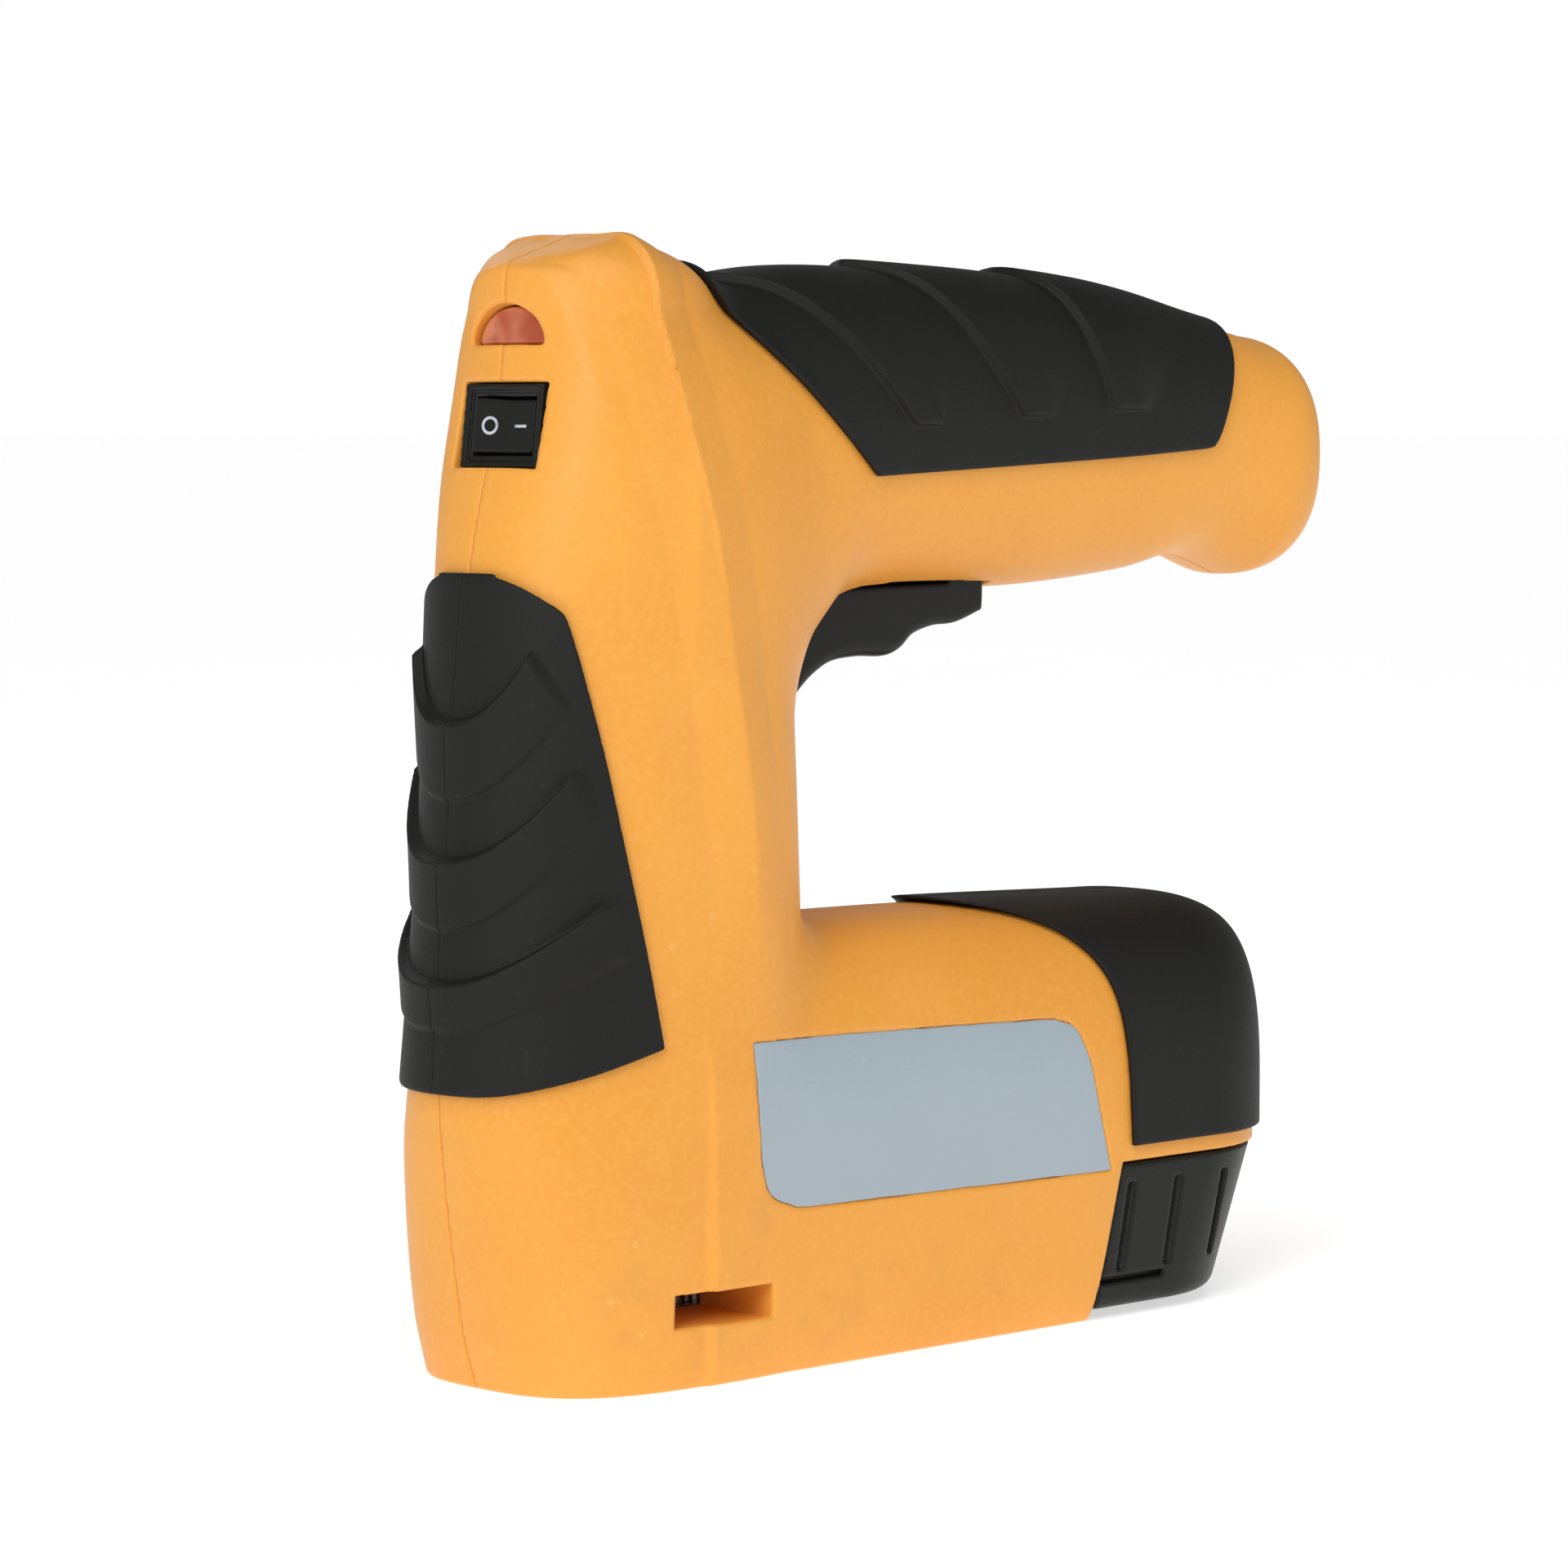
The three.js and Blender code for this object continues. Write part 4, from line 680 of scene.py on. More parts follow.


# %% [markdown]
# ## Yellow shell plastic
# Satin ABS from a spark-eroded mould: a warm yellow-orange with a very fine even grain, a slow drift in tone
# from the flow of the melt, a few dark specks in the granulate, and grey patches that grow denser towards the
# bottom. Edges and ridges are painted paler, partly as wear and partly as a painted highlight along them. The
# grain is a bump, because it is far finer than the mesh.

# %% Yellow plastic
def yellow_plastic():
    bench = Bench("yellow_shell_plastic", IOR=1.5, Specular_IOR_Level=0.3, Coat_Roughness=0.35)
    flow = bench.between(0.35, 0.65, bench.noise(26, 3))
    grain = bench.noise(2600, 2, 0.6)
    fine = bench.noise(900, 3)
    body = bench.mix(flow, (0.86, 0.362, 0.05), (0.89, 0.39, 0.06))
    body = bench.mix(bench.between(0.45, 0.62, fine) * 0.22, body, (0.94, 0.46, 0.095))
    # Grey patches that grow denser towards the bottom, so the shell is darker low down.
    low_down = 1 - bench.between(0.0, 0.06, bench.height(2))
    grey_patches = bench.between(0.54, 0.74, bench.noise(55, 4, 0.6)) * (low_down * 0.16 + 0.03)
    body = bench.mix(grey_patches, body, (0.42, 0.24, 0.095))
    # Paler edges and ridges: partly wear, partly a painted highlight along ridges such as the side crease.
    body = bench.mix(bench.edges(0.53, 0.6) * 0.3, body, (0.98, 0.56, 0.17))
    body = bench.mix(bench.spots(75, 0.05, 0.34), body, (0.16, 0.07, 0.03))
    rough = 0.36 + flow * 0.05 + fine * 0.1 + grey_patches * 0.2
    bench.set(Base_Color=body, Roughness=rough, Coat_Weight=0.08)
    bench.set(Normal=bench.bump(grain, 0.00004, 0.5, bench.bump(fine, 0.00006, 0.35)))
    return bench.material


# %% [markdown]
# ## Rubber of the covers
# Thermoplastic elastomer is nearly black, matt and grippy. The mould gives it a sandy grain that sparkles
# faintly where light grazes it, and it holds on to dust, so a few pale specks sit on it and the ribs are
# polished by the hand.

# %% Grip rubber
def grip_rubber():
    bench = Bench("grip_rubber", IOR=1.5, Specular_IOR_Level=0.24)
    cloud = bench.noise(40, 3)
    sand = bench.noise(1900, 2, 0.65)
    body = bench.mix(cloud, (0.0075, 0.0075, 0.007), (0.0125, 0.0125, 0.0115))
    body = bench.mix(bench.edges(0.56, 0.7) * 0.3, body, (0.025, 0.025, 0.023))
    body = bench.mix(bench.spots(260, 0.06, 0.3), body, (0.16, 0.155, 0.145))
    rough = 0.46 + cloud * 0.1 + sand * 0.14
    bench.set(Base_Color=body, Roughness=rough)
    bench.set(Normal=bench.bump(sand, 0.00009, 0.55, bench.bump(cloud, 0.0003, 0.15)))
    return bench.material


def black_plastic(name, rough_from=0.3, grain=1500):
    bench = Bench(name, IOR=1.5, Specular_IOR_Level=0.22)
    cloud = bench.noise(70, 3)
    sand = bench.noise(grain, 2, 0.6)
    body = bench.mix(cloud, (0.008, 0.0085, 0.0075), (0.0135, 0.014, 0.0125))
    body = bench.mix(bench.edges(0.53, 0.62) * 0.4, body, (0.035, 0.035, 0.032))
    body = bench.mix(bench.spots(240, 0.05, 0.25), body, (0.15, 0.148, 0.14))
    bench.set(Base_Color=body, Roughness=rough_from + cloud * 0.1 + sand * 0.1)
    bench.set(Normal=bench.bump(sand, 0.00005, 0.5))
    return bench.material


# %% [markdown]
# ## Metals, wraps, boards and the lens
# The parts inside are seen through the slots or when the tool is opened, so they get real finishes too:
# brushed plated steel, darker hardened steel, spring wire with a drawn grain, brass, waxy nylon,
# solder-masked board, shrink wrap.

# %% Metals
def steel(name, bright, dark, rough, stretch_=(1, 1, 14), scale=160):
    bench = Bench(name)
    brushed = bench.noise(scale, 4, 0.7, stretch_)
    blotch = bench.noise(90, 3)
    tarnish = bench.between(0.55, 0.75, blotch)
    body = bench.mix(tarnish * 0.5, bright, dark)
    body = bench.mix(bench.edges(0.54, 0.62) * 0.4, body, tuple(min(1, c * 1.3) for c in bright))
    bench.set(Base_Color=body, Metallic=1.0, Roughness=rough + brushed * 0.16 + tarnish * 0.12)
    bench.set(Normal=bench.bump(brushed, 0.00003, 0.4))
    return bench.material


def staple_wire():
    bench = Bench("staple_wire_glued")
    wires = bench.add(
        "ShaderNodeTexWave", {"bands_direction": "X", "wave_profile": "SIN"},
        {"Vector": bench.point, "Scale": 120, "Distortion": 0.0},
    )
    glue = bench.between(0.45, 0.7, bench.noise(300, 3))
    body = bench.mix(glue * 0.4, (0.62, 0.63, 0.64), (0.42, 0.38, 0.3))
    bench.set(Base_Color=body, Metallic=0.9, Roughness=0.25 + glue * 0.2)
    bench.set(Normal=bench.bump(wires, 0.0003, 0.8))
    return bench.material


# %% Other finishes
def waxy(name, light, deep, rough, scale=220, metal=0.0):
    bench = Bench(name, Specular_IOR_Level=0.45)
    cloud = bench.noise(scale, 3)
    fine = bench.noise(scale * 9, 2)
    body = bench.mix(bench.between(0.35, 0.7, cloud), light, deep)
    body = bench.mix(bench.edges(0.54, 0.62) * 0.35, body, tuple(min(1, c * 1.25 + 0.02) for c in light))
    bench.set(Base_Color=body, Roughness=rough + cloud * 0.12, Metallic=metal)
    bench.set(Normal=bench.bump(fine, 0.00003, 0.4))
    return bench.material


def circuit_board():
    bench = Bench("circuit_board", Specular_IOR_Level=0.5)
    tracks = bench.add(
        "ShaderNodeTexVoronoi", {"distance": "MANHATTAN", "feature": "DISTANCE_TO_EDGE"},
        {"Vector": bench.point, "Scale": 420},
    )
    lines = 1 - bench.between(0.04, 0.09, tracks)
    body = bench.mix(lines * 0.7, (0.012, 0.12, 0.04), (0.03, 0.26, 0.08))
    body = bench.mix(bench.spots(600, 0.3, 0.3), body, (0.6, 0.55, 0.4))
    bench.set(Base_Color=body, Roughness=0.3 + lines * 0.1, Normal=bench.bump(lines, 0.00005, 0.6))
    return bench.material


def label_film():
    bench = Bench("label_film", Specular_IOR_Level=0.45)
    cloud = bench.noise(45, 3)
    peel = bench.noise(700, 2)
    dots = bench.spots(900, 0.22, 0.6)
    body = bench.mix(cloud, (0.36, 0.435, 0.49), (0.395, 0.47, 0.525))
    body = bench.mix(dots * 0.12, body, (0.28, 0.34, 0.39))
    body = bench.mix(bench.edges(0.53, 0.6) * 0.35, body, (0.6, 0.66, 0.7))
    scuff = bench.between(0.62, 0.7, bench.noise(120, 4, 0.7, (1, 1, 6)))
    bench.set(Base_Color=bench.mix(scuff * 0.12, body, (0.7, 0.74, 0.77)))
    bench.set(Roughness=0.3 + cloud * 0.1 + scuff * 0.2, Normal=bench.bump(peel, 0.00003, 0.35))
    return bench.material


def lens_plastic():
    bench = Bench("lens_plastic", IOR=1.49, Coat_Roughness=0.08, Subsurface_Radius=(0.004, 0.0015, 0.0008))
    bench.set(Subsurface_Weight=0.25, Subsurface_Scale=0.5)
    swirl = bench.noise(260, 3)
    haze = bench.between(0.4, 0.7, bench.noise(120, 2))
    body = bench.mix(haze, (0.46, 0.085, 0.03), (0.72, 0.25, 0.13))
    bench.set(Base_Color=body, Roughness=0.16 + swirl * 0.14, Coat_Weight=0.6)
    bench.set(Normal=bench.bump(swirl, 0.0002, 0.35))
    return bench.material


def white_print():
    bench = Bench("white_print", Specular_IOR_Level=0.4)
    fade = bench.noise(900, 3)
    body = bench.mix(bench.between(0.4, 0.75, fade), (0.62, 0.66, 0.72), (0.4, 0.43, 0.48))
    bench.set(Base_Color=body, Roughness=0.45 + fade * 0.2, Normal=bench.bump(fade, 0.00002, 0.4))
    return bench.material


# %% The finish for each of the record's slots
finishes = {
    "yellow_shell": yellow_plastic(),
    "grip_rubber": grip_rubber(),
    "black_plastic": black_plastic("black_nylon"),
    "label_grey": label_film(),
    "red_lens": lens_plastic(),
    "circuit_board": circuit_board(),
    "plated_steel": steel("plated_steel", (0.62, 0.63, 0.65), (0.45, 0.44, 0.42), 0.2),
    "spring_steel": steel("spring_steel", (0.42, 0.42, 0.43), (0.26, 0.23, 0.2), 0.25, (1, 1, 3), 400),
    "dark_steel": steel("dark_steel", (0.13, 0.132, 0.135), (0.07, 0.065, 0.06), 0.32),
    "staple_wire": staple_wire(),
    "white_nylon": waxy("white_nylon", (0.78, 0.76, 0.7), (0.68, 0.65, 0.58), 0.4),
    "brass": waxy("brass", (0.83, 0.6, 0.24), (0.62, 0.4, 0.14), 0.22, 300, 1.0),
    "cell_wrap": waxy("cell_wrap", (0.05, 0.28, 0.12), (0.03, 0.2, 0.085), 0.22, 90),
    "red_plastic": waxy("red_plastic", (0.62, 0.05, 0.03), (0.5, 0.03, 0.02), 0.35),
}
slot_of = {row["node"]: row["material_slot"] for row in frame["record"]["subparts"]}
for name, part in frame["nodes"].items():
    dress(part, finishes[slot_of[name]])
print("finishes:", ", ".join(sorted(finishes)))

# %% The shell halves take their finish and their places in the frame
stand_in(housing_left, "housing", "housing_left", "yellow_shell")
stand_in(housing_right, "housing", "housing_right", "yellow_shell")

# %% [markdown]
# ## Front grip
# The pad on the front of the column has three raised chevrons, like overlapping scales: each has a tall
# ledge along its upper edge and fades to a shallow step along its lower edge, and its tips are cut off at a
# slant before the pad's side edge. The ledges are drawn in the front view, as a height over the middle that
# grows with the distance to the seam.

# %% Front grip
front_outline = [
    stretch((-20, 45.4), (-8.5, 45.7), (-5.2, 46), (-0.7, 47.1), (6.4, 49), (12.5, 50.9), (17.3, 52.4)),
    stretch((17.3, 52.4), (14.9, 66.6), (12.3, 80.3), (9.5, 95.1), (6.6, 108.2), (4.9, 115.8)),
    stretch((4.9, 115.8), (4.2, 117.9), (2.3, 119.9), (0.2, 122), (-1.2, 123.3), (-2.2, 123.8), (-20, 124)),
]
# Each chevron: the edge over the seam, how much it rises by its tip, and how far out its tip is.
chevrons = [
    ((102.0, 10.7, 12.8), (89.8, 14.2, 16.8)),
    ((81.3, 14.0, 18.0), (70.4, 16.1, 19.5)),
    ((63.0, 12.5, 21.1), (55.2, 11.1, 22.0)),
]
CHEVRON_BEND = 2.6
LEDGE, STEP_DOWN = 1.9, 0.6


def edge_height(edge, out):
    """Level of a chevron's edge at that distance from the seam, and how steeply it rises there."""
    middle, rise, tip = edge
    share = np.minimum(out, tip * 1.15) / tip
    return middle + rise * share**CHEVRON_BEND, rise * CHEVRON_BEND / tip * share ** (CHEVRON_BEND - 1)


def front_height(x, y, z):
    out = np.abs(y)
    height = GRIP_PROUD + 0 * (x + y + z)
    for upper, lower in chevrons:
        top, top_slope = edge_height(upper, out)
        low, low_slope = edge_height(lower, out)
        from_top = (top - z) / np.hypot(1, top_slope)
        from_low = (z - low) / np.hypot(1, low_slope)
        tip_top, tip_low = upper[0] + upper[1], lower[0] + lower[1]
        tip = upper[2] + (lower[2] - upper[2]) * (tip_top - z) / (tip_top - tip_low)
        from_tip = (tip + 0.2 - out) / np.hypot(1, (lower[2] - upper[2]) / (tip_top - tip_low))
        across = np.clip(from_top / (from_top + from_low + 1e-6), 0, 1)
        raised = LEDGE + (STEP_DOWN - LEDGE) * across**0.8
        inside = ramp(-0.2, 1.0, from_top) * ramp(-0.1, 0.5, from_low) * ramp(0, 0.6, from_tip)
        height = height + raised * inside
    return height


both_sides(
    "front_grip", "grip_rubber",
    cover(front_height, front_outline),
    (-11, -0.2, 44), (19, 24.5, 126), 0.36,
)

# %% [markdown]
# ## Handle grip
# The saddle over the handle has three ribs that sweep forward as they climb to its top. Each starts at a
# square foot on the side, has a crisp front ledge and fades out behind. The sweep is simplest in terms of
# the angle round the handle: at the foot it is near zero, and over the top it is a right angle.

# %% Handle grip
saddle_outline = [
    stretch((37.2, HANDLE_TOP + 20), (37.2, HANDLE_TOP - 1.6)),
    stretch(
        (37.2, HANDLE_TOP - 1.6), (39, 164.7), (42, 160.9), (46.8, 156.1), (52, 151.4), (57, 146.7),
        (66.6, 137.9),
    ),
    stretch((67.4, 137.9), (89.2, 138.9), (108.5, 139.8), (126.6, 140.7), (144.8, 141.9)),
    stretch((146.4, 142.2), (148, 144.2), (150.3, 149), (153.3, 155.4), (156.4, 161), (160, 166.5)),
    stretch((160, 166.5), (160, HANDLE_TOP + 20)),
]
# Each rib: where its foot starts, how far it sweeps forward for each degree, and the level of its foot.
ribs = [(74.8, 0.335, 145.6), (100.4, 0.262, 147.1), (121.4, 0.10, 148.2)]
RIB_PROUD = 1.25
FOOT_LONG = 5.6


def saddle_height(x, y, z):
    angle = np.degrees(np.arctan2(z - 144.5, np.abs(y)))
    height = GRIP_PROUD + 0 * (x + y + z)
    for start, sweep, foot in ribs:
        behind = (x - start + sweep * np.maximum(angle, 0)) / math.hypot(1, sweep)
        fade = 0.9 + 0.5 * np.maximum(angle - 4, 0)
        body = ramp(0, 0.7, behind) * (1 - ramp(0, 1, (behind - FOOT_LONG) / fade))
        height = height + RIB_PROUD * body * ramp(-0.1, 0.6, z - foot)
    return height


both_sides(
    "handle_grip", "grip_rubber",
    cover(saddle_height, saddle_outline),
    (34, -0.2, 136), (162, 22.5, HEAD_TOP - 2.2), 0.42,
)

# %% [markdown]
# ## Rear bumper
# The bumper caps the back of the lower body. It is a plain cover whose front edge curves down from the top
# to the side.

# %% Rear bumper
BUMPER_LOW = cover_low[2]
bumper_outline = [
    stretch((95, BODY_TOP + 20), (95.6, BODY_TOP + 0.7)),
    stretch(
        (95.6, BODY_TOP + 0.7), (102, 67.2), (107, 65.3), (111, 62.9), (115, 58.8), (117.6, 53), (119, 43),
        (120, BUMPER_LOW),
    ),
    stretch((120, BUMPER_LOW), (BODY_END + 30, BUMPER_LOW)),
    stretch((BODY_END + 30, BUMPER_LOW), (BODY_END + 30, BODY_TOP + 20)),
]
both_sides(
    "rear_bumper", "grip_rubber",
    cover(lambda x, y, z: BUMPER_PROUD, bumper_outline, 0.45),
    (93, -0.2, 26), (BODY_END + 2.5, HALF_WIDTH + 2.2, BODY_TOP + 2.5), 0.42,
)

# %% [markdown]
# ## Label plates
# A printed plate lies in a shallow pocket on each side, a hair below the shell's face, so its rim shows as a
# fine line. The plate is left plain.

# %% Labels
LABEL_TOP = 0.08


def label_plate(x, y, z):
    face = outside(x, y, z)
    sheet = common(face + LABEL_TOP, -face - LABEL_DEEP + 0.04, 0.05)
    return common(sheet, np.maximum(outline_distance(label_outline, x, z), 12 - y), 0.1)


both_sides(
    "label", "label_grey",
    label_plate, (33, 22.6, 23), (117, HALF_WIDTH + 0.8, 54), 0.3,
)

# %% [markdown]
# ## Rocker switch
# The switch is a bought part: a black frame pushed into the recess, and a button that tips about an upright
# pin. Its two faces meet in a shallow valley, so whichever side is pressed lies flush. It is drawn in the
# panel's own directions, depth, side and height, and leaned back with the panel.

# %% Rocker frame and button
FRAME = (17.6, 12.6)  # wide, high
FRAME_FRONT, FRAME_LONG = 1.6, 11.0
BUTTON = (11.6, 8.2)
ROCKER_TIP = math.radians(20)
ROCKER_PIVOT = FRAME_FRONT + 2.6


def rocker_frame(x, y, z):
    deep, up = panel(x, z, ROCKER_Z)
    half_wide, half_high = FRAME[0] / 2, FRAME[1] / 2
    body = plate(deep, y, up, FRAME_FRONT, FRAME_FRONT + FRAME_LONG, half_wide, half_high)
    well = plate(deep, y, up, 0, FRAME_FRONT + 5.6, BUTTON[0] / 2 + 1.0, BUTTON[1] / 2 + 0.35)
    rim = plate(deep, y, up, 0, FRAME_FRONT + 0.5, half_wide - 1.1, half_high - 0.9)
    return cut(cut(body, well, 0.4), rim, 0.4)


def rocker_turned(deep, y):
    """The button's own depth and side, before it is tipped."""
    c, s = math.cos(ROCKER_TIP / 2), math.sin(ROCKER_TIP / 2)
    d = deep - ROCKER_PIVOT
    return d * c + y * s, y * c - d * s


def rocker_button(x, y, z):
    deep, up = panel(x, z, ROCKER_Z)
    d, side = rocker_turned(deep, y)
    half = BUTTON[0] / 2
    valley = -1.6 - np.abs(side) * math.tan(ROCKER_TIP / 2) - d
    back = d - 1.6 + np.maximum(0, np.abs(side) - 1.2) * 0.35
    body = common(common(valley, np.abs(side) - half, 0.5), np.abs(up) - BUTTON[1] / 2, 0.5)
    return common(body, back, 0.3)


panel_low = (column_front(ROCKER_Z) - 1, -FRAME[0] / 2 - 0.5, ROCKER_Z - 9)
panel_high = (column_front(ROCKER_Z) + 16, FRAME[0] / 2 + 0.5, ROCKER_Z + 9)
for name, body, node, shape in (
    ("switch_frame", "housing", "rocker_frame", rocker_frame),
    ("switch_button", "rocker", "rocker_button", rocker_button),
):
    stand_in(skin(name, shape, panel_low, panel_high, 0.22), body, node, "black_plastic")

# %% [markdown]
# ## Marks on the button
# A ring for off and a bar for on are pad-printed on the two faces. Each mark is a thin flat band a few
# hundredths of a millimetre proud, built in the plane of its face.

# %% Ring and bar
PRINT_PROUD, PRINT_THICK = 0.05, 0.04


def print_on_button(name, rim_outer, rim_inner, middle):
    """A flat band between two closed loops of (side, height), on the face whose middle is that far out."""
    slope = math.tan(ROCKER_TIP / 2)
    c, s = math.cos(ROCKER_TIP / 2), math.sin(ROCKER_TIP / 2)
    lean_c, lean_s = math.cos(PANEL_LEAN), math.sin(PANEL_LEAN)
    front = column_front(np.float64(ROCKER_Z))
    places = []
    for lift in (PRINT_PROUD, PRINT_PROUD - PRINT_THICK):
        for loop in (rim_outer, rim_inner):
            for across, up in loop:
                own = middle + across
                d = -1.6 - abs(own) * slope - lift
                deep = ROCKER_PIVOT + d * c - own * s
                y = own * c + d * s
                x = front + deep * lean_c + up * lean_s
                places.append((x, y, ROCKER_Z - deep * lean_s + up * lean_c))
    n = len(rim_outer)
    faces = []
    for i in range(n):
        j = (i + 1) % n
        for a, b, shift in ((i, j, n), (2 * n + j, 2 * n + i, n), (j, i, 2 * n), (n + i, n + j, 2 * n)):
            faces.append((a, b, b + shift, a + shift))
    piece = mesh_piece(name, places, faces, smooth=False)
    dress(piece, white_ink)
    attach(piece, "rocker")


white_ink = white_print()
turn = np.linspace(0, 2 * np.pi, 48, endpoint=False)
ring_out = np.stack([1.4 * np.cos(turn), 1.4 * np.sin(turn)], 1)
print_on_button("mark_off", ring_out, ring_out * 0.68, BUTTON[0] * 0.26)
bar_out = np.array([(-1.3, -0.22), (1.3, -0.22), (1.3, 0.22), (-1.3, 0.22)])
print_on_button("mark_on", bar_out, bar_out * 0.02, -BUTTON[0] * 0.25)

# %% [markdown]
# ## Indicator lens
# A half-round window over the switch lights up when the tool is ready. Its lens is a slightly domed piece of
# red translucent plastic set a little behind the shell's face.

# %% Lens
def lens(x, y, z):
    behind, above = panel(x, z, WINDOW_LOW)
    rim = half_round(y, above) + 0.25
    dome = 1.5 + 0.012 * (y**2 + (above - 2.5) ** 2) - behind
    return common(common(rim, dome, 0.5), behind - 3.1, 0.3)


sill = column_front(WINDOW_LOW)
piece = skin("window_lens", lens, (sill - 1, -9, WINDOW_LOW - 1.5), (sill + 5.5, 9, WINDOW_LOW + 7.5), 0.24)
stand_in(piece, "housing", "indicator_lens", "red_lens")

# %% [markdown]
# ## Trigger
# The trigger is one lever with a finger hollow in the middle and a knuckle on its pin. Its outline comes
# from the side view, and its long edges are well rounded, because a finger lies on them.

# %% Trigger
TRIGGER_FRONT = COLUMN_BACK + 3.6
KNUCKLE = 3.4
KNUCKLE_END = TRIGGER_PIN_X + KNUCKLE
trigger_outline = [
    stretch(
        (TRIGGER_FRONT, 101.2), (63.2, 104.2), (66.4, 106.6), (70.4, 108.4), (76.2, 109), (82.2, 108.9),
        (85.6, 110), (88.4, 112.2), (93, 113.5), (98.2, 113.9), (KNUCKLE_END, 115.8),
    ),
    stretch((KNUCKLE_END, 115.8), (KNUCKLE_END, TRIGGER_PIN_Z)),
    stretch(
        (KNUCKLE_END, TRIGGER_PIN_Z), (TRIGGER_PIN_X, TRIGGER_PIN_Z + KNUCKLE),
        (TRIGGER_PIN_X - KNUCKLE, TRIGGER_PIN_Z),
    ),
    stretch((TRIGGER_PIN_X - 5, HANDLE_UNDER + 1), (TRIGGER_FRONT + 12, HANDLE_UNDER + 0.6)),
    stretch(
        (TRIGGER_FRONT + 12, HANDLE_UNDER + 0.6), (63.8, 118.6), (60.8, 114.6), (TRIGGER_FRONT, 110),
        (TRIGGER_FRONT, 101.2),
    ),
]


def trigger_shape(x, y, z):
    flat = outline_distance(trigger_outline, x, z)
    finger_side = 0.9 + 1.3 * (1 - ramp(110, 119, z))
    body = common(flat, np.abs(y) - TRIGGER_HALF, finger_side)
    return cut(body, np.hypot(x - TRIGGER_PIN_X, z - TRIGGER_PIN_Z) - 1.65, 0.2)


piece = skin("trigger_lever", trigger_shape, (59, -7, 100), (105, 7, 129.5), 0.36)
stand_in(piece, "trigger", "trigger", "black_plastic")

# %% [markdown]
# ## Magazine latch
# The black cap under the bumper is what the hand pinches to pull the staple rail out. Its front edge leans,
# its back slopes in towards the foot, and three upright grooves and a low slit give the fingers a hold.

# %% Latch
LATCH_TOP, LATCH_LOW = latch_high[2], latch_low[2]
LATCH_BACK_SLANT = 10.0
groove_tops = [121.0, 132.4, 144.4]
GROOVE_LEAN = 3 / 14
RAIL_END = 120.4


def latch_shape(x, y, z):
    high = LATCH_TOP - LATCH_LOW
    own = x + LATCH_BACK_SLANT - LATCH_BACK_SLANT / high * (z - LATCH_LOW)
    start, reach = BODY_END - 1 - (REAR_ROUND - 1), REAR_ROUND - 1
    half = HALF_WIDTH - 0.5
    round_back = rounded(np.maximum(own - start, 0), y, reach, half, 2.15) * np.where(own > start, 1, 0)
    plan = np.where(own > start, round_back, np.abs(y) - half)
    body = common(plan, latch_region(x, z), 0.5)
    body = common(body, z - LATCH_TOP, 0.6)
    body = common(body, LATCH_LOW - z, 2.4)
    for top in groove_tops:
        middle = top - (LATCH_TOP - 3.4 - z) * GROOVE_LEAN
        groove = np.abs(x - middle) * 0.9 - 0.75 - 0.5 * (plan + 0.2)
        groove = np.maximum(groove, np.maximum(z - LATCH_TOP + 3.4, 8 - z))
        body = cut(body, np.maximum(groove, -plan - 1.3), 0.3)
    slit = block(x, -np.abs(y), z, (112, -60, 5.9), (128.6, 0, 6.9))
    body = cut(body, np.maximum(slit, -plan - 1.6), 0.25)
    rail = block(x, y, z, (90, -4.3, 5.9), (RAIL_END + 0.3, 4.3, 14.6))
    return cut(body, rail, 0.2)


latch_far = (BODY_END, HALF_WIDTH, LATCH_TOP + 0.2)
piece = skin("latch_cap", latch_shape, (110, -HALF_WIDTH, LATCH_LOW - 0.2), latch_far, 0.45)
stand_in(piece, "magazine", "magazine_latch", "black_plastic")

# %% [markdown]
# ## Screws
# Six pan-head screws go in from the right and hold the halves together. Each has a domed head with a cross
# recess.

# %% Screws
def screw_shape(px, pz, tip, top):
    """A formula for one screw at that place, from its tip to the top of its head."""

    def shape(x, y, z):
        round_ = np.hypot(x - px, z - pz)
        head = common(round_ - 2.8, y - top + 0.05 * round_**2, 0.4)
        head = np.maximum(head, top - 2 - y)
        wide, tall = np.abs(x - px), np.abs(z - pz)
        cross = np.minimum(np.maximum(wide - 0.38, tall - 1.6), np.maximum(tall - 0.38, wide - 1.6))
        head = cut(head, np.maximum(cross + 0.3 * (top - y), top - 1.3 - y), 0.12)
        turns = y * 1.1 + np.arctan2(z - pz, x - px) / (2 * np.pi)
        thread = round_ - 1.35 + 0.12 * np.abs((turns % 1) - 0.5)
        return np.minimum(head, np.maximum(np.maximum(thread, y - top + 1.5), tip - y))

    return shape


for number, (px, pz, tip, top) in enumerate(screws, 1):
    shape = screw_shape(px, pz, tip, top)
    piece = skin("screw_head_%d" % number, shape, (px - 3, tip, pz - 3), (px + 3, top, pz + 3), 0.24)
    stand_in(piece, "housing", "screw_%d" % number, "dark_steel")

# %% [markdown]
# ## The studio
# A catalogue picture stands on white with hardly a shadow. The floor is pale and glows a little, so that
# light comes back from below as it does from a lit table, and it runs out far enough to meet the white
# surround without a horizon. The surround is bright round the sides and dim overhead: what faces up on black
# rubber then stays black, and its ledges show. The key is a broad lamp to the left of the camera, two weaker
# ones shape the sides, and a wide sun fills in.

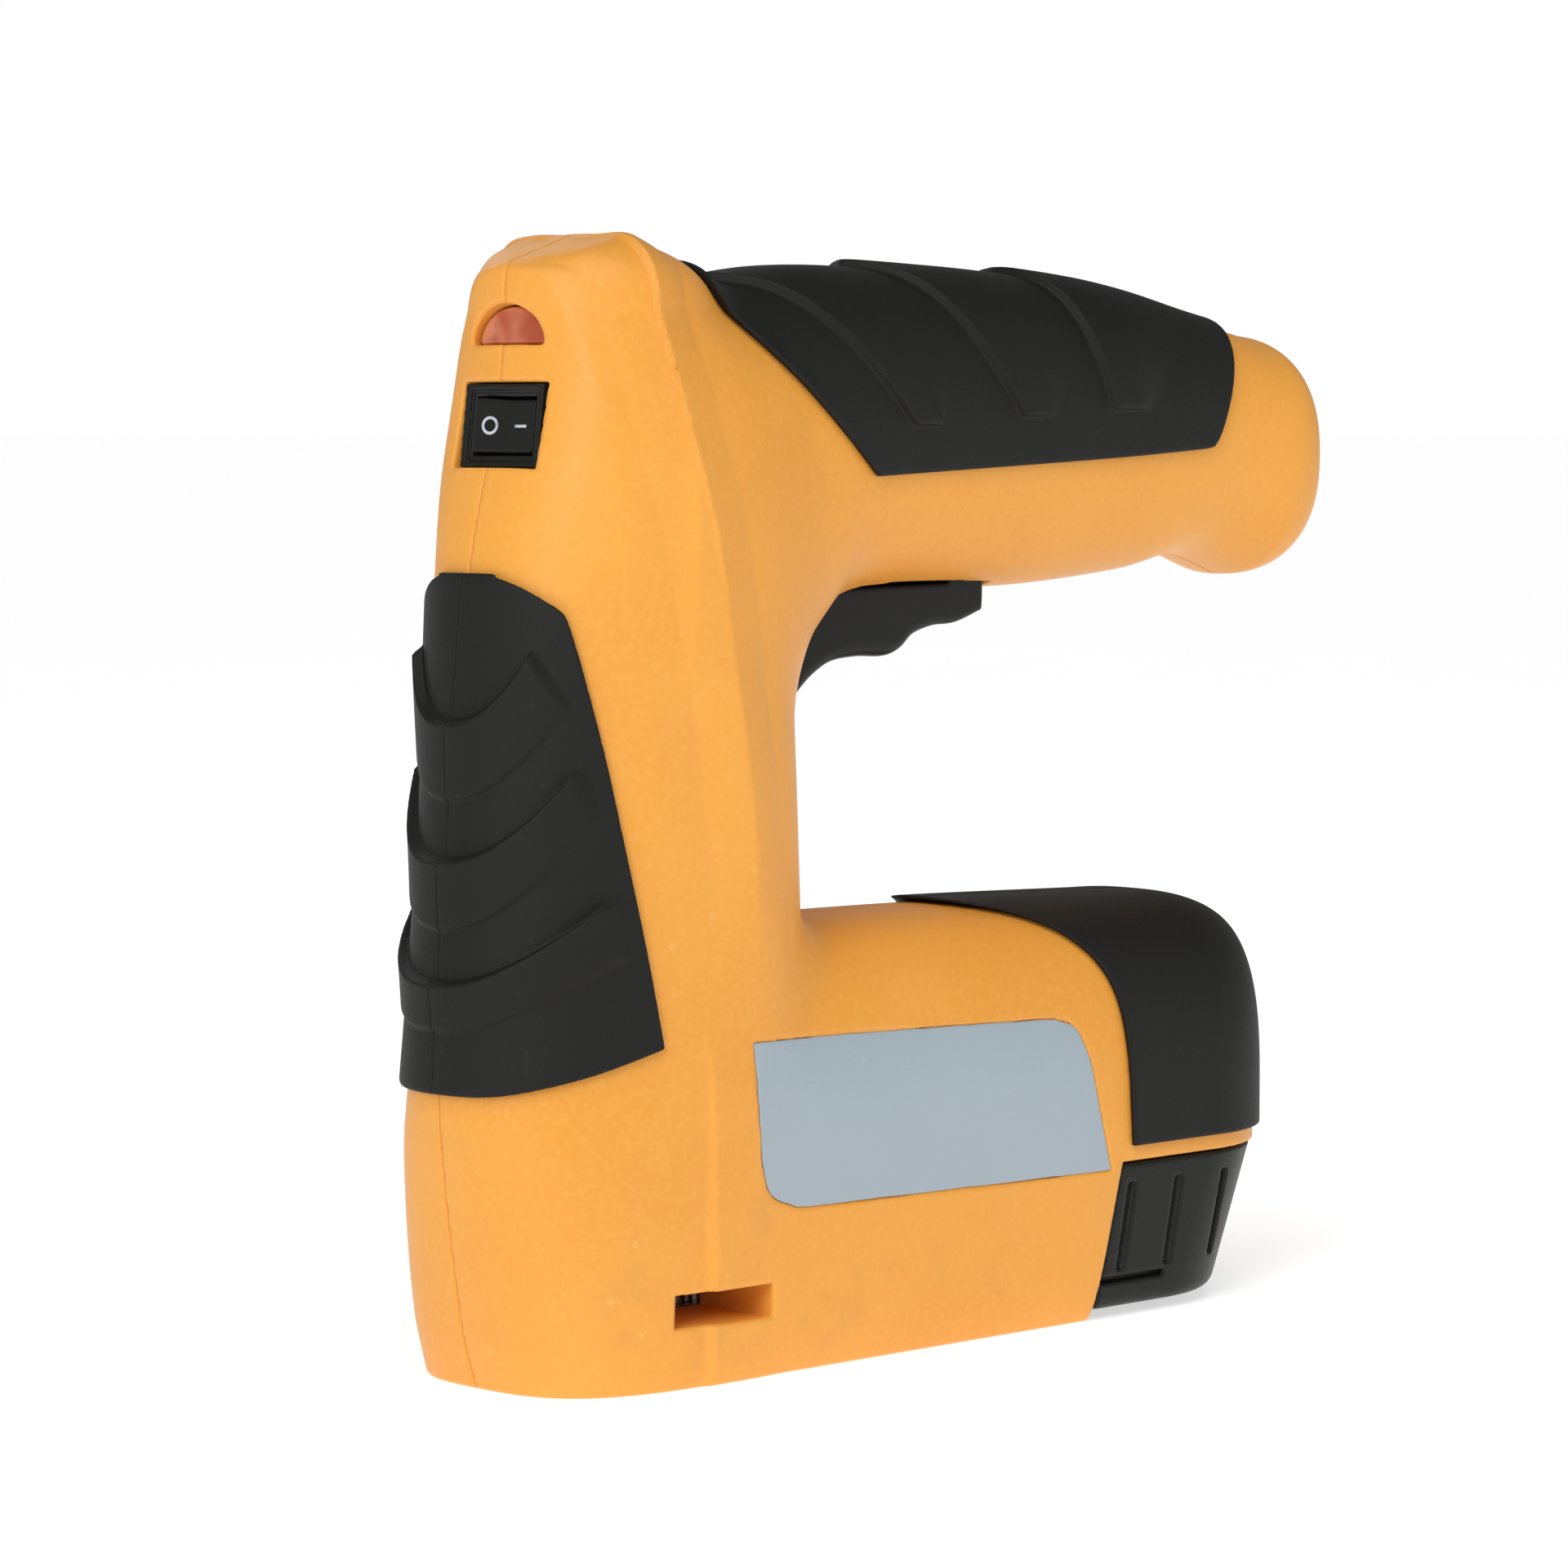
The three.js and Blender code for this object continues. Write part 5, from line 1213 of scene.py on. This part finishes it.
# %% Floor
FLOOR_GLOW = 0.6
bpy.ops.mesh.primitive_plane_add(size=80, location=(0, 0, 0))
floor = bpy.context.object
floor.name = "floor"
floor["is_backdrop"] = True
floor_bench = Bench("pale_floor", Roughness=0.9, Specular_IOR_Level=0.0)
floor_tone = floor_bench.mix(floor_bench.noise(3, 2), (0.78, 0.78, 0.78), (0.8, 0.8, 0.8))
floor_bench.set(Base_Color=floor_tone, Emission_Color=(1, 1, 1), Emission_Strength=FLOOR_GLOW)
dress(floor, floor_bench.material)


# %% Lamps
def soft_light(name, place, size, watts):
    data = bpy.data.lights.new(name, "AREA")
    data.shape, data.size, data.energy = "DISK", size, watts
    light = bpy.data.objects.new(name, data)
    light.location = place
    light.rotation_euler = (Vector((0.07, 0, 0.1)) - Vector(place)).to_track_quat("-Z", "Y").to_euler()
    bpy.context.scene.collection.objects.link(light)


soft_light("key", (-0.95, -0.5, 0.55), 0.5, 3.7)
soft_light("side", (0.5, -1.2, 0.7), 0.6, 1.8)
soft_light("rim", (0.5, 1.2, 0.9), 0.8, 1.9)
skylight = bpy.data.lights.new("skylight", "SUN")
skylight.energy, skylight.angle = 1.3, math.radians(50)
overhead = bpy.data.objects.new("skylight", skylight)
overhead.rotation_euler = Vector((0.45, 0.35, -1)).to_track_quat("-Z", "Y").to_euler()
bpy.context.scene.collection.objects.link(overhead)

# %% Surround
world = bpy.data.worlds.new("bright_surround")
sky = Graph(world)
wall = sky.tree.nodes["Background"]
wall.inputs["Color"].default_value = (1, 1, 1, 1)
towards = sky.add("ShaderNodeTexCoord", output="Generated")
upward = sky.add("ShaderNodeSeparateXYZ", {}, {0: towards}, output="Z")
levels = {0: upward, 1: 0.1, 2: 0.9, 3: 0.34, 4: 0.05}
dim = sky.add("ShaderNodeMapRange", {"interpolation_type": "SMOOTHSTEP"}, levels)
in_view = sky.add("ShaderNodeLightPath", output="Is Camera Ray")
sky.feed(wall.inputs["Strength"], sky.add("ShaderNodeMix", {}, {0: in_view, 2: dim, 3: 1.0}))
bpy.context.scene.world = world
bpy.context.scene.view_settings.view_transform = "Standard"

# %% Camera
AZIMUTH, ELEVATION = math.radians(-43.92), math.radians(3.9)
camera_data = bpy.data.cameras.new("camera")
camera_data.lens, camera_data.sensor_width, camera_data.clip_start = 121.9, 36.0, 0.05
camera = bpy.data.objects.new("camera", camera_data)
camera.location = (-0.52357, -0.60661, 0.14633)
flat = math.cos(ELEVATION)
looking = Vector((flat * -math.sin(AZIMUTH), flat * math.cos(AZIMUTH), -math.sin(ELEVATION)))
camera.rotation_euler = looking.to_track_quat("-Z", "Y").to_euler()
bpy.context.scene.collection.objects.link(camera)
bpy.context.scene.camera = camera

# %% Sizes, then the frame takes over
visual_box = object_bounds()
boxes = {"cad": cad_box, "visual": visual_box}
{key: [list(map(float, corner)) for corner in box] for key, box in boxes.items()}
